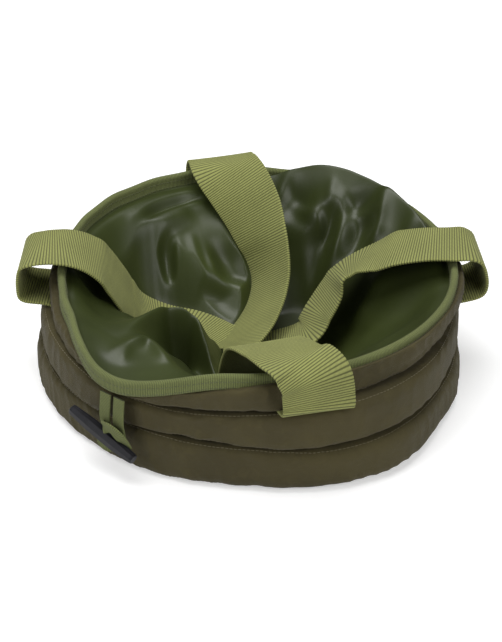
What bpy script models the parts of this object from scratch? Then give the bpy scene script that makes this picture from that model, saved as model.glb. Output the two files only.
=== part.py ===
"""Soft collapsible bucket, folded flat, with two wide webbing straps and a toggle loop.

Metres, +Z up. The origin is the centre of the base's underside. The wall is three outer rolls
of nylon, one over the other, with a coated lining inside. +Y is the back of the bucket, -Y the
front, and the two straps run front to back and left to right.
"""

from math import cos, degrees, pi, radians, sin

import bmesh
import bpy
from mathutils import Matrix, Vector

# Sizes of the folded wall
WALL_RADIUS = 0.141          # the base's edge and the two hooped seams
BASE_SEAM_LAP = 0.005        # how far the wall's first seam lies inside the base's edge
BASE_THICKNESS = 0.0012
LOWER_ROLL_HEIGHT = 0.0315
MIDDLE_ROLL_HEIGHT = 0.0305
UPPER_ROLL_HEIGHT = 0.0285
LOWER_BULGE = 0.014
MIDDLE_BULGE = 0.014
UPPER_BULGE = 0.012
NYLON = 0.0012
LINING = 0.0008
HOOP_DIAMETER = 0.003
CREASE_GAP = 0.0004          # half of the gap between two rolls at their seam
CLEARANCE = 0.0003

# Sizes of the rim
RIM_FLARE = 0.010            # how far the rim stands out past the hooped seams
BINDING_DROP = 0.0105
BINDING_TAPE = 0.0008
RIM_CORD_DIAMETER = 0.0028

# Sizes of the lining, which hangs from the rim into the bucket as a soft bowl
UPPER_DRAPE = 0.114          # its radius as high as the upper hoop
LOWER_DRAPE = 0.085          # its radius as high as the lower hoop
FLOOR_DRAPE = 0.060          # its radius where it meets its floor
DRAPE_SAG = 0.07             # how far a section sags, as a share of its length
DRAPE_STEPS = 4
FOLD_COUNT = 11
FOLD_WAVE = 0.003
PUFF_ANGLE = 43.0            # where the lining swells up over the rim
PUFF_HALF_ANGLE = 31.0
PUFF_RISE = 0.013
PUFF_WIDTH = 0.012

# Sizes of the webbing straps
STRAP_WIDTH = 0.050
STRAP_THICKNESS = 0.0016
STRAP_SEAT = 0.55            # share of the roll's bulge at which a strap leaves the crease
LOOP_REACH = 0.036           # from the rim's line to where the hanging span starts
STRAP_FLOOR_GAP = 0.0030     # from the lining's floor to the lower strap at the crossing
CROSSING = (-0.020, 0.010)
CROSSING_GAP = 0.0035        # between the two straps where they cross
END_OUT = 0.75               # share of the stand-off at which a strap clears the crease
END_UP = 0.30                # share of the way from the crease to the first cut, there
LOOP_IN = 0.20               # share of the stand-off that the loop gives back at its bend
LOOP_UP = 0.70               # share of the way from the first cut to the loop's top, there
LOOP_DROOP = 0.35            # share of the fall that is reached halfway in from the rim
LEAN_SHARES = (0.1, 0.5, 0.8)      # of the sideways lean, at the loop's points before its end
SECTION_STEPS = 3            # sections of a strap between two of its route's points

# Sizes of the toggle and its narrow loop
LOOP_ANGLE = 226.0
TAPE_WIDTH = 0.0095
TAPE_THICKNESS = 0.0014
LEG_SPACING = 0.012          # between the middles of the two legs
LEG_DROP = 0.037             # from the legs' top to the toggle's axis
LEG_GAP = 0.0005             # from the nylon to the legs
LEG_TOP_GAP = 0.0013         # from the binding down to the legs
HINGE_DROP = 0.0008          # from the legs' top to the line that they swing about
TOGGLE_OFFSET = 0.0035       # how far the toggle lies outside the legs
TOGGLE_LENGTH = 0.060
TOGGLE_THICKNESS = 0.0096
TOGGLE_END_THICKNESS = 0.0074
TOGGLE_TIP_THICKNESS = 0.0053
TOGGLE_TIP_LENGTH = 0.0018
TOGGLE_MIDDLE_LENGTH = 0.024 # the stretch of full thickness
TOGGLE_SLANT = 17.0
TOGGLE_SHIFT = 0.008         # from the toggle's middle to the hitch's
TOGGLE_SIDES = 8
HITCH_WIDTH = 0.019
HITCH_GAP = 0.0007           # the toggle turns inside its hitch
HITCH_SIDES = 20
BORE_SIDES = 16

RING_STEPS = 40
ROLL_STEPS = 4

# Each wave is an angle in degrees, a height or depth in metres and a half width in degrees
CORNER = LOOP_ANGLE
RIM_WAVES = [(172.0, -0.018, 80.0), (CORNER, 0.012, 32.0)]
RIM_SAGS = [(CORNER, -0.0115, 30.0), (203.0, -0.006, 45.0)]
UPPER_SEAM_SAGS = [(CORNER, -0.004, 36.0), (296.0, 0.004, 45.0)]
LOWER_SEAM_SAGS = [(238.0, 0.004, 45.0)]
UPPER_WAVES = [(172.0, -0.011, 80.0), (CORNER, 0.006, 32.0), (270.0, 0.006, 60.0)]
MIDDLE_WAVES = [(180.0, -0.006, 70.0), (292.0, 0.012, 50.0)]
LOWER_WAVES = [(205.0, -0.006, 50.0), (290.0, 0.011, 36.0), (310.0, 0.006, 70.0)]
SEAM_WAVES = [(172.0, -0.006, 80.0), (285.0, 0.005, 60.0)]
UPPER_DRAPE_WAVES = [(132.0, 0.008, 24.0), (212.0, -0.021, 36.0), (264.0, -0.010, 30.0),
                     (336.0, 0.009, 24.0)]
LOWER_DRAPE_WAVES = [(48.0, 0.014, 34.0), (140.0, 0.013, 40.0), (208.0, -0.026, 42.0)]
FLOOR_DRAPE_WAVES = [(45.0, 0.026, 34.0), (142.0, 0.020, 40.0), (216.0, -0.014, 50.0)]

# Each strap's place: its angle, how far its loop stands off the rolls, how far the loop rises
# over the rim, how far it falls again to its inner end, and how far it leans sideways there
STRAP_PLACES = {
    "back": (88.0, 0.005, 0.006, 0.009, -0.016),
    "left": (166.0, 0.013, 0.008, 0.024, -0.013),
    "front": (277.0, 0.003, 0.011, 0.006, -0.022),
    "right": (356.0, 0.017, 0.006, 0.002, 0.003),
}

# Each hanging span's route from the loop to the crossing: share of the way in, sideways metres,
# share of the height and twist in degrees
SPAN_ROUTES = {
    "back": [(0.40, -0.029, 0.55, 0.0), (0.72, -0.010, 0.24, 0.0)],
    "left": [(0.05, -0.019, 0.75, 0.0), (0.19, -0.022, 0.48, 0.0), (0.35, -0.024, 0.22, 0.0),
             (0.61, -0.018, 0.06, 0.0)],
    "front": [(0.15, -0.021, 0.81, 0.0), (0.42, -0.020, 0.30, 0.0), (0.72, -0.019, 0.08, 0.0)],
    "right": [(0.20, 0.004, 0.86, 0.0), (0.36, 0.008, 0.58, 0.0), (0.52, 0.012, 0.22, 0.0),
              (0.78, 0.010, 0.0, 0.0)],
}

# Colours and finishes: base colour, roughness and metallic value
OLIVE_NYLON = ((0.075, 0.060, 0.033), 0.78, 0.0)
COATED_LINING = ((0.040, 0.055, 0.012), 0.32, 0.0)
GREEN_WEBBING = ((0.230, 0.250, 0.080), 0.80, 0.0)
GREEN_TAPE = ((0.200, 0.260, 0.095), 0.80, 0.0)
SPRING_STEEL = ((0.550, 0.550, 0.560), 0.35, 1.0)
WHITE_PLASTIC = ((0.700, 0.700, 0.680), 0.50, 0.0)
BLACK_PLASTIC = ((0.020, 0.020, 0.026), 0.45, 0.0)


def clear_scene():
    """Remove what the scene holds before the model is made."""
    for thing in list(bpy.data.objects):
        bpy.data.objects.remove(thing, do_unlink=True)


def material(name, finish):
    """A Principled material with its own colour, roughness and metallic value."""
    colour, roughness, metallic = finish
    made = bpy.data.materials.new(name)
    made.use_nodes = True
    shader = made.node_tree.nodes["Principled BSDF"]
    shader.inputs["Base Color"].default_value = (*colour, 1.0)
    shader.inputs["Roughness"].default_value = roughness
    shader.inputs["Metallic"].default_value = metallic
    return made


def add_object(name, bm, finish, smooth_below=40.0):
    """Turn a bmesh into a named object, its faces pointing out."""
    bmesh.ops.recalc_face_normals(bm, faces=bm.faces)
    mesh = bpy.data.meshes.new(name)
    bm.to_mesh(mesh)
    bm.free()
    mesh.shade_smooth()
    mesh.set_sharp_from_angle(angle=radians(smooth_below))
    made = bpy.data.objects.new(name, mesh)
    made.data.materials.append(material(name, finish))
    bpy.context.collection.objects.link(made)
    return made


def loft(rings, closed, back_from=None):
    """Skin a row of matching point rings. A closed row meets its start, an open one is capped.

    Points from back_from on run back along a thin wall's other side. Both sides are then cut
    into triangles along the same diagonals, so a twisted wall keeps its thickness.
    """
    bm = bmesh.new()
    rows = [[bm.verts.new(point) for point in ring] for ring in rings]
    count = len(rows[0])
    pairs = list(zip(rows, rows[1:]))
    if closed:
        pairs.append((rows[-1], rows[0]))
    for here, there in pairs:
        for i in range(count):
            j = (i + 1) % count
            if back_from is None:
                bm.faces.new((here[i], here[j], there[j], there[i]))
            elif i < back_from:
                bm.faces.new((here[i], here[j], there[j]))
                bm.faces.new((here[i], there[j], there[i]))
            else:
                bm.faces.new((here[i], here[j], there[i]))
                bm.faces.new((here[j], there[j], there[i]))
    if not closed:
        bm.faces.new(rows[0])
        bm.faces.new(list(reversed(rows[-1])))
    return bm


def waved(base, waves, angle):
    """A base value plus smooth local waves, each a squared cosine of the angle."""
    value = base
    for centre, height, half_width in waves:
        off = abs((angle - centre + 180.0) % 360.0 - 180.0)
        if off < half_width:
            value += height * cos(0.5 * pi * off / half_width) ** 2
    return value


def seam_radius(angle):
    return waved(WALL_RADIUS, SEAM_WAVES, angle)


def lower_seam(angle):
    return waved(BASE_THICKNESS + LOWER_ROLL_HEIGHT, LOWER_SEAM_SAGS, angle)


def upper_seam(angle):
    return waved(BASE_THICKNESS + LOWER_ROLL_HEIGHT + MIDDLE_ROLL_HEIGHT, UPPER_SEAM_SAGS, angle)


def rim_height(angle):
    level = BASE_THICKNESS + LOWER_ROLL_HEIGHT + MIDDLE_ROLL_HEIGHT + UPPER_ROLL_HEIGHT
    return waved(level, RIM_SAGS, angle)


def rim_radius(angle):
    return waved(WALL_RADIUS + RIM_FLARE, RIM_WAVES, angle)


def lower_bulge(angle):
    return waved(WALL_RADIUS + LOWER_BULGE, LOWER_WAVES, angle)


def middle_bulge(angle):
    return waved(WALL_RADIUS + MIDDLE_BULGE, MIDDLE_WAVES, angle)


def upper_bulge(angle):
    return waved(WALL_RADIUS + UPPER_BULGE, UPPER_WAVES, angle)


def polar(angle, radius, height):
    """The point at an angle in degrees, a radius and a height."""
    turn = radians(angle)
    return Vector((radius * cos(turn), radius * sin(turn), height))


def ring_angles():
    return [360.0 * i / RING_STEPS for i in range(RING_STEPS)]


def quarter(start, end, steps=ROLL_STEPS):
    """A quarter ellipse in the radius and height plane, leaving start level and ending upright."""
    points = []
    for i in range(steps + 1):
        turn = 0.5 * pi * i / steps
        points.append((start[0] + (end[0] - start[0]) * sin(turn),
                       end[1] + (start[1] - end[1]) * cos(turn)))
    return points


def thick_line(line, thickness, upright_end):
    """A closed outline round a line of points, half the thickness to each side.

    An upright end is cut level, whichever way the line's last step leans.
    """
    left, right = [], []
    for i, point in enumerate(line):
        ahead = line[min(i + 1, len(line) - 1)]
        behind = line[max(i - 1, 0)]
        run = Vector((ahead[0] - behind[0], ahead[1] - behind[1])).normalized()
        if upright_end and ahead is point:
            run = Vector((0.0, 1.0 if run.y > 0.0 else -1.0))
        side = Vector((-run.y, run.x)) * (0.5 * thickness)
        left.append((point[0] + side.x, point[1] + side.y))
        right.append((point[0] - side.x, point[1] - side.y))
    return left + right[::-1]


def turned_shell(name, line_at, thickness, finish, upright_end=False):
    """A wall that goes once round the bucket, its line given at each angle."""
    rings = []
    for angle in ring_angles():
        outline = thick_line(line_at(angle), thickness, upright_end)
        rings.append([polar(angle, radius, height) for radius, height in outline])
    return add_object(name, loft(rings, closed=True, back_from=len(outline) // 2), finish)


def lower_half(seam, bulge_radius, seam_height, middle_height):
    """A roll's lower half: from its seam out to its bulge."""
    start = (seam, seam_height + CREASE_GAP + 0.5 * NYLON)
    return quarter(start, (bulge_radius, middle_height - 0.5 * CLEARANCE))


def upper_half(seam, bulge_radius, seam_height, middle_height):
    """A roll's upper half: from its bulge back in to its seam."""
    start = (seam, seam_height - CREASE_GAP - 0.5 * NYLON)
    return quarter(start, (bulge_radius, middle_height + 0.5 * CLEARANCE))


def lower_middle(angle):
    return 0.5 * (BASE_THICKNESS + lower_seam(angle))


def middle_middle(angle):
    return 0.5 * (lower_seam(angle) + upper_seam(angle))


def upper_middle(angle):
    return 0.5 * (upper_seam(angle) + binding_bottom(angle))


def binding_bottom(angle):
    return rim_height(angle) - BINDING_DROP


def nylon_line():
    """Radius of the outer wall's edge inside the binding, from the rim's own line."""
    return 0.5 * (NYLON + CLEARANCE)


def lining_line():
    """Radius of the lining's edge inside the binding, from the rim's own line."""
    return -0.5 * (LINING + CLEARANCE)


def binding_half_width():
    """Half of the binding's outer thickness, round the two edges and the cord that it holds."""
    held = max(nylon_line() + 0.5 * NYLON, lining_line() + 0.5 * LINING, 0.5 * RIM_CORD_DIAMETER)
    return held + CLEARANCE + BINDING_TAPE


def edge_top(angle):
    """Height of the two edges inside the binding, under the rim cord."""
    return rim_height(angle) - BINDING_TAPE - RIM_CORD_DIAMETER - 2.0 * CLEARANCE


def lining_step(angle):
    """Height at which the lining steps out from its swell to its edge inside the binding."""
    return binding_bottom(angle) - 2.0 * LINING


def make_base():
    """The nylon base and the lining's floor on it."""
    bm = bmesh.new()
    bmesh.ops.create_cone(bm, cap_ends=True, segments=RING_STEPS, radius1=WALL_RADIUS,
                          radius2=WALL_RADIUS, depth=BASE_THICKNESS,
                          matrix=Matrix.Translation((0.0, 0.0, 0.5 * BASE_THICKNESS)))
    add_object("base_panel", bm, OLIVE_NYLON)
    bm = bmesh.new()
    level = BASE_THICKNESS + CLEARANCE + 0.5 * LINING
    radius = lining_seam_radius()
    bmesh.ops.create_cone(bm, cap_ends=True, segments=RING_STEPS, radius1=radius,
                          radius2=radius, depth=LINING, matrix=Matrix.Translation((0.0, 0.0, level)))
    add_object("lining_floor", bm, COATED_LINING)


def make_lower_roll():
    turned_shell("lower_roll_bottom", lambda angle: lower_half(
        WALL_RADIUS - BASE_SEAM_LAP, lower_bulge(angle), BASE_THICKNESS, lower_middle(angle)),
        NYLON, OLIVE_NYLON, upright_end=True)
    turned_shell("lower_roll_top", lambda angle: upper_half(
        seam_radius(angle), lower_bulge(angle), lower_seam(angle), lower_middle(angle)),
        NYLON, OLIVE_NYLON, upright_end=True)


def make_middle_roll():
    turned_shell("middle_roll_bottom", lambda angle: lower_half(
        seam_radius(angle), middle_bulge(angle), lower_seam(angle), middle_middle(angle)),
        NYLON, OLIVE_NYLON, upright_end=True)
    turned_shell("middle_roll_top", lambda angle: upper_half(
        seam_radius(angle), middle_bulge(angle), upper_seam(angle), middle_middle(angle)),
        NYLON, OLIVE_NYLON, upright_end=True)


def upper_roll_top_line(angle):
    """From the rim cord down inside the binding, then out to the bulge."""
    edge = rim_radius(angle) + nylon_line()
    shoulder = lining_step(angle) - 0.5 * LINING
    middle = upper_middle(angle) + 0.5 * CLEARANCE
    bulge_radius = upper_bulge(angle)
    points = []
    for i in range(ROLL_STEPS + 1):
        share = i / ROLL_STEPS
        ease = share * share * (3.0 - 2.0 * share)
        points.append((bulge_radius + (edge - bulge_radius) * ease,
                       middle + (shoulder - middle) * share))
    points.append((edge, edge_top(angle)))
    return points[::-1]


def make_upper_roll():
    turned_shell("upper_roll_bottom", lambda angle: lower_half(
        seam_radius(angle), upper_bulge(angle), upper_seam(angle), upper_middle(angle)),
        NYLON, OLIVE_NYLON, upright_end=True)
    turned_shell("upper_roll_top", upper_roll_top_line, NYLON, OLIVE_NYLON, upright_end=True)


def round_ring(name, radius_at, height_at, diameter, finish, sides=6):
    """A cord or wire that goes once round the bucket."""
    rings = []
    for angle in ring_angles():
        ring = []
        for i in range(sides):
            turn = 2.0 * pi * i / sides
            ring.append(polar(angle, radius_at(angle) + 0.5 * diameter * cos(turn),
                              height_at(angle) + 0.5 * diameter * sin(turn)))
        rings.append(ring)
    return add_object(name, loft(rings, closed=True), finish)


def hoop_radius(angle):
    return seam_radius(angle) - 0.5 * HOOP_DIAMETER - CLEARANCE


def make_hoops():
    round_ring("lower_hoop", hoop_radius, lower_seam, HOOP_DIAMETER, SPRING_STEEL)
    round_ring("upper_hoop", hoop_radius, upper_seam, HOOP_DIAMETER, SPRING_STEEL)


def binding_line(angle):
    """The folded tape: up its outer side, over the cord and down its inner side."""
    reach = binding_half_width() - 0.5 * BINDING_TAPE
    radius = rim_radius(angle)
    top = rim_height(angle) - 0.5 * BINDING_TAPE
    bottom = binding_bottom(angle)
    turn_start = top - reach
    over = []
    for i in range(5):
        turn = pi * i / 4
        over.append((radius + reach * cos(turn), turn_start + reach * sin(turn)))
    return [(radius + reach, bottom)] + over + [(radius - reach, bottom)]


def make_rim():
    turned_shell("rim_binding", binding_line, BINDING_TAPE, GREEN_TAPE)

    def cord_height(angle):
        return rim_height(angle) - BINDING_TAPE - CLEARANCE - 0.5 * RIM_CORD_DIAMETER

    round_ring("rim_cord", rim_radius, cord_height, RIM_CORD_DIAMETER, WHITE_PLASTIC)


def lining_seam_radius():
    """Radius of the lining where it passes the hoops."""
    draw_in = max(-height for _, height, _ in SEAM_WAVES)
    return WALL_RADIUS - draw_in - HOOP_DIAMETER - 2.0 * CLEARANCE - LINING


def drape(radius, waves, angle):
    """Radius of the lining at one level, with its folds."""
    return waved(radius, waves, angle) + FOLD_WAVE * cos(radians(FOLD_COUNT * angle))


def draped(low, high):
    """A section of the lining between two places, sagging down and out from a straight line."""
    reach = high[0] - low[0]
    rise = high[1] - low[1]
    points = []
    for i in range(DRAPE_STEPS + 1):
        share = i / DRAPE_STEPS
        sag = DRAPE_SAG * sin(pi * share)
        points.append((low[0] + share * reach + sag * rise, low[1] + share * rise - sag * reach))
    return points


def floor_top():
    return BASE_THICKNESS + CLEARANCE + LINING


def puff(angle):
    """Height, over the rim's, that the lining swells to just inside the binding."""
    return waved(-BINDING_DROP, [(PUFF_ANGLE, BINDING_DROP + PUFF_RISE, PUFF_HALF_ANGLE)], angle)


def make_lining():
    floor = floor_top() + CLEARANCE + 0.5 * LINING

    def lower_line(angle):
        foot = waved(FLOOR_DRAPE, FLOOR_DRAPE_WAVES, angle)
        top = drape(LOWER_DRAPE, LOWER_DRAPE_WAVES, angle)
        return draped((foot, floor), (top, lower_seam(angle) - CREASE_GAP))

    def middle_line(angle):
        foot = drape(LOWER_DRAPE, LOWER_DRAPE_WAVES, angle)
        top = drape(UPPER_DRAPE, UPPER_DRAPE_WAVES, angle)
        return draped((foot, lower_seam(angle) + CREASE_GAP),
                      (top, upper_seam(angle) - CREASE_GAP))

    def upper_line(angle):
        foot = drape(UPPER_DRAPE, UPPER_DRAPE_WAVES, angle)
        edge = rim_radius(angle) + lining_line()
        step = lining_step(angle)
        inner = rim_radius(angle) - binding_half_width() - CLEARANCE - 0.5 * LINING
        swell = rim_height(angle) + puff(angle)
        brink = 0.5 * (step + LINING + swell)
        line = draped((foot, upper_seam(angle) + CREASE_GAP), (inner - PUFF_WIDTH, brink))
        line += [(inner - 0.5 * PUFF_WIDTH, swell), (inner, brink)]
        return line + [(inner, step), (edge, step), (edge, edge_top(angle))]

    turned_shell("lining_lower", lower_line, LINING, COATED_LINING)
    turned_shell("lining_middle", middle_line, LINING, COATED_LINING)
    turned_shell("lining_upper", upper_line, LINING, COATED_LINING)


def crease_height(angle, radius):
    """Height halfway between the upper roll and the middle roll, at a radius inside their crease."""
    seam = seam_radius(angle)
    level = upper_seam(angle)
    heights = []
    for bulge_radius, middle in ((upper_bulge(angle), upper_middle(angle)),
                                 (middle_bulge(angle), middle_middle(angle))):
        share = min((radius - seam) / (bulge_radius - seam), 1.0)
        heights.append(middle + (level - middle) * (1.0 - share * share) ** 0.5)
    return 0.5 * (heights[0] + heights[1])


def strap_axes(angle):
    """Outward and sideways directions of a strap at its angle."""
    turn = radians(angle)
    return Vector((cos(turn), sin(turn), 0.0)), Vector((-sin(turn), cos(turn), 0.0))


def wall_across(angle, level=True):
    """Direction along the rolls' outline under a strap's width, level or along the crease."""
    half_angle = degrees(0.5 * STRAP_WIDTH / WALL_RADIUS)
    ends = [polar(at, max(upper_bulge(at), middle_bulge(at)), 0.0 if level else upper_seam(at))
            for at in (angle - half_angle, angle + half_angle)]
    return (ends[1] - ends[0]).normalized()


def outer_stations(name):
    """Route of a strap's outer part, from the crease up to the height of its first cut."""
    angle, stand_off = STRAP_PLACES[name][:2]
    out, _ = strap_axes(angle)
    across = wall_across(angle)
    along_crease = wall_across(angle, level=False)
    bulge_radius = max(upper_bulge(angle), middle_bulge(angle))
    reach = bulge_radius + 0.5 * (NYLON + STRAP_THICKNESS) + CLEARANCE
    seat = seam_radius(angle) + STRAP_SEAT * (min(upper_bulge(angle), middle_bulge(angle))
                                              - seam_radius(angle))
    mouth = 0.5 * (seat + reach)
    level = crease_height(angle, seat)
    cut = loop_cut_height(name)
    return [
        (out * seat + Vector((0.0, 0.0, level)), along_crease),
        (out * mouth + Vector((0.0, 0.0, crease_height(angle, mouth))), along_crease),
        (out * (reach + END_OUT * stand_off)
         + Vector((0.0, 0.0, level + END_UP * (cut - level))), across),
        (out * (reach + stand_off) + Vector((0.0, 0.0, cut)), across),
    ]


def loop_cut_height(name):
    """Height at which a strap's outer part ends and its loop over the rim starts."""
    angle = STRAP_PLACES[name][0]
    return 0.5 * (upper_middle(angle) + binding_bottom(angle))


def loop_stations(name):
    """Route of a strap's loop, from its first cut up over the rim to its inner end."""
    angle, stand_off, rise, fall, lean = STRAP_PLACES[name]
    out, side = strap_axes(angle)
    start, across = outer_stations(name)[-1]
    top = rim_height(angle) + rise
    rim = rim_radius(angle)
    reach = start.dot(out)
    leans = [side * (share * lean) for share in LEAN_SHARES]
    return [
        (start, across),
        (out * (reach - LOOP_IN * stand_off) + leans[0]
         + Vector((0.0, 0.0, start.z + LOOP_UP * (top - start.z))), across),
        (out * rim + leans[1] + Vector((0.0, 0.0, top)), across),
        (out * (rim - 0.5 * LOOP_REACH) + leans[2]
         + Vector((0.0, 0.0, top - LOOP_DROOP * fall)), side),
        (out * (rim - LOOP_REACH) + side * lean + Vector((0.0, 0.0, top - fall)), side),
    ]


def crossing_height(name):
    """Middle height of a strap where the two cross on the lining's floor."""
    level = floor_top() + STRAP_FLOOR_GAP + 0.5 * STRAP_THICKNESS
    if name in ("back", "front"):
        level += STRAP_THICKNESS + CROSSING_GAP
    return level


def span_stations(name):
    """Route of a hanging span, from the loop's inner end to the crossing."""
    angle = STRAP_PLACES[name][0]
    out, side = strap_axes(angle)
    start, across = loop_stations(name)[-1]
    middle = Vector((CROSSING[0], CROSSING[1], crossing_height(name)))
    begin = start.dot(out)
    end = middle.dot(out)
    stations = [(start, across)]
    for share, sideways, rise, twist in SPAN_ROUTES[name]:
        height = middle.z + rise * (start.z - middle.z)
        place = out * (begin + share * (end - begin)) + side * sideways
        width = Matrix.Rotation(radians(twist), 3, out) @ side
        stations.append((place + Vector((0.0, 0.0, height)), width))
    stations.append((middle, side))
    return stations


def smooth_route(stations, steps=SECTION_STEPS):
    """Places and width directions along a smooth curve through the stations."""
    count = len(stations)
    samples = []
    for i in range(count - 1):
        near = [stations[max(i - 1, 0)], stations[i], stations[i + 1], stations[min(i + 2, count - 1)]]
        for k in range(steps):
            t = k / steps
            weights = (-0.5 * t + t * t - 0.5 * t ** 3, 1.0 - 2.5 * t * t + 1.5 * t ** 3,
                       0.5 * t + 2.0 * t * t - 1.5 * t ** 3, -0.5 * t * t + 0.5 * t ** 3)
            place = sum((w * n[0] for w, n in zip(weights, near)), Vector((0.0, 0.0, 0.0)))
            width = sum((w * n[1] for w, n in zip(weights, near)), Vector((0.0, 0.0, 0.0)))
            samples.append((place, width))
    samples.append(stations[-1])
    return samples


def strip(name, samples, width, thickness, first_cut, last_cut, finish):
    """A flat strip along a row of places, its end faces square to the given directions.

    Towards its ends the strip's sections turn from square to the route to level with the cut.
    """
    rings = []
    last = len(samples) - 1
    for i, (place, across) in enumerate(samples):
        run = (samples[min(i + 1, last)][0] - samples[max(i - 1, 0)][0]).normalized()
        if i == 0:
            run = first_cut
            place = place + run * (0.5 * CLEARANCE)
        if i == last:
            run = last_cut
            place = place - run * (0.5 * CLEARANCE)
        square = min(1.0, min(i, last - i) / SECTION_STEPS)
        half = (across - run * (square * across.dot(run))).normalized() * (0.5 * width)
        lift = run.cross(half).normalized() * (0.5 * thickness)
        rings.append([place + half + lift, place - half + lift,
                      place - half - lift, place + half - lift])
    return add_object(name, loft(rings, closed=False), finish)


def make_strap_loops():
    up = Vector((0.0, 0.0, 1.0))
    for name, (angle, *_) in STRAP_PLACES.items():
        out, _ = strap_axes(angle)
        strip(name + "_strap_end", smooth_route(outer_stations(name)), STRAP_WIDTH,
              STRAP_THICKNESS, out, up, GREEN_WEBBING)
        strip(name + "_strap_loop", smooth_route(loop_stations(name)), STRAP_WIDTH,
              STRAP_THICKNESS, up, -out, GREEN_WEBBING)


def make_span(name, first, second):
    """One hanging span, from one loop down to the crossing and up to the opposite loop."""
    near = span_stations(first)
    far = [(place, -across) for place, across in span_stations(second)]
    samples = smooth_route(near + far[-2::-1])
    first_out, _ = strap_axes(STRAP_PLACES[first][0])
    second_out, _ = strap_axes(STRAP_PLACES[second][0])
    strip(name, samples, STRAP_WIDTH, STRAP_THICKNESS, -first_out, second_out, GREEN_WEBBING)


def make_spans():
    make_span("front_back_strap", "back", "front")
    make_span("left_right_strap", "left", "right")


def leg_frame():
    """Middle of the legs' top edge, and the outward and sideways directions there."""
    half_angle = degrees(0.5 * (LEG_SPACING + TAPE_WIDTH) / (WALL_RADIUS + RIM_FLARE))
    near, far = (polar(at, rim_radius(at), 0.0) for at in (LOOP_ANGLE - half_angle,
                                                         LOOP_ANGLE + half_angle))
    side = (far - near).normalized()
    out = side.cross(Vector((0.0, 0.0, 1.0)))
    top = min(binding_bottom(LOOP_ANGLE + k * half_angle) for k in (-1.0, 0.0, 1.0)) - LEG_TOP_GAP
    radius = rim_radius(LOOP_ANGLE) + nylon_line() + 0.5 * (NYLON + TAPE_THICKNESS) + LEG_GAP
    return polar(LOOP_ANGLE, radius, top), out, side


def hinge_place():
    """Middle of the line that the narrow loop swings about, inside its legs' top."""
    top, _, _ = leg_frame()
    return top - Vector((0.0, 0.0, HINGE_DROP))


def toggle_frame():
    """Middle of the hitch and the direction of the toggle's length."""
    top, out, side = leg_frame()
    slant = radians(TOGGLE_SLANT)
    along = side * cos(slant) - Vector((0.0, 0.0, sin(slant)))
    return top + out * TOGGLE_OFFSET - Vector((0.0, 0.0, LEG_DROP)), along


def hitch_bore():
    """Radius of the hitch's bore, round the toggle's corners."""
    return 0.5 * TOGGLE_THICKNESS / cos(pi / TOGGLE_SIDES) + HITCH_GAP


def rod(name, middle, along, radius, length, sides):
    """A plain round rod, used for the hitch and its bore."""
    bm = bmesh.new()
    turn = along.to_track_quat("Z", "Y").to_matrix().to_4x4()
    bmesh.ops.create_cone(bm, cap_ends=True, segments=sides, radius1=radius, radius2=radius,
                          depth=length, matrix=Matrix.Translation(middle) @ turn)
    return add_object(name, bm, GREEN_WEBBING)


def hide(thing):
    """Keep a cutter out of the model."""
    thing.hide_render = True
    thing.display_type = "WIRE"


def cut_or_join(thing, tool, operation):
    """Add a Boolean with another object, which is then hidden."""
    change = thing.modifiers.new(tool.name, "BOOLEAN")
    change.operation = operation
    change.object = tool
    change.solver = "EXACT"
    hide(tool)


def hang_on_axis(thing, name, place, direction):
    """Parent an object to an empty on its joint's axis, the empty's Z along that axis."""
    empty = bpy.data.objects.new(name, None)
    empty.location = place
    empty.rotation_euler = direction.to_track_quat("Z", "Y").to_euler()
    bpy.context.collection.objects.link(empty)
    thing.parent = empty
    turn = empty.rotation_euler.to_matrix().to_4x4()
    thing.matrix_parent_inverse = (Matrix.Translation(place) @ turn).inverted()


def make_toggle_loop():
    """The narrow loop: two legs and the hitch that holds the toggle, as one piece."""
    top, out, side = leg_frame()
    middle, along = toggle_frame()
    outer_radius = hitch_bore() + TAPE_THICKNESS
    hitch = rod("toggle_loop", middle, along, outer_radius, HITCH_WIDTH, HITCH_SIDES)
    down = Vector((0.0, 0.0, -1.0))
    for i, shift in enumerate((-0.5 * LEG_SPACING, 0.5 * LEG_SPACING)):
        foot = middle + side * shift - out * TOGGLE_OFFSET - down * (0.5 * hitch_bore())
        samples = [(top + side * shift, side), (foot, side)]
        leg = strip("leg_%d" % i, samples, TAPE_WIDTH, TAPE_THICKNESS, down, down, GREEN_WEBBING)
        cut_or_join(hitch, leg, "UNION")
    bore = rod("hitch_bore", middle, along, hitch_bore(), 2.0 * HITCH_WIDTH, BORE_SIDES)
    cut_or_join(hitch, bore, "DIFFERENCE")
    hang_on_axis(hitch, "loop_hinge", hinge_place(), side)


def make_toggle_bar():
    """The faceted toggle, thickest in its middle, with blunt tips."""
    _, out, _ = leg_frame()
    middle, along = toggle_frame()
    lift = out.cross(along)
    half = 0.5 * TOGGLE_LENGTH
    profile = [(0.5 * TOGGLE_MIDDLE_LENGTH, TOGGLE_THICKNESS),
               (half - TOGGLE_TIP_LENGTH, TOGGLE_END_THICKNESS), (half, TOGGLE_TIP_THICKNESS)]
    rings = []
    for offset, thickness in [(-reach, size) for reach, size in profile[::-1]] + profile:
        place = middle + along * (offset - TOGGLE_SHIFT)
        corner_radius = 0.5 * thickness / cos(pi / TOGGLE_SIDES)
        ring = []
        for k in range(TOGGLE_SIDES):
            turn = 2.0 * pi * (k + 0.5) / TOGGLE_SIDES
            ring.append(place + (out * cos(turn) + lift * sin(turn)) * corner_radius)
        rings.append(ring)
    bar = add_object("toggle_bar", loft(rings, closed=False), BLACK_PLASTIC, smooth_below=20.0)
    hang_on_axis(bar, "toggle_axis", middle, along)


def main():
    clear_scene()
    make_base()
    make_lower_roll()
    make_middle_roll()
    make_upper_roll()
    make_hoops()
    make_rim()
    make_lining()
    make_strap_loops()
    make_spans()
    make_toggle_loop()
    make_toggle_bar()


main()
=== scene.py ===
from functools import partial
import math

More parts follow.
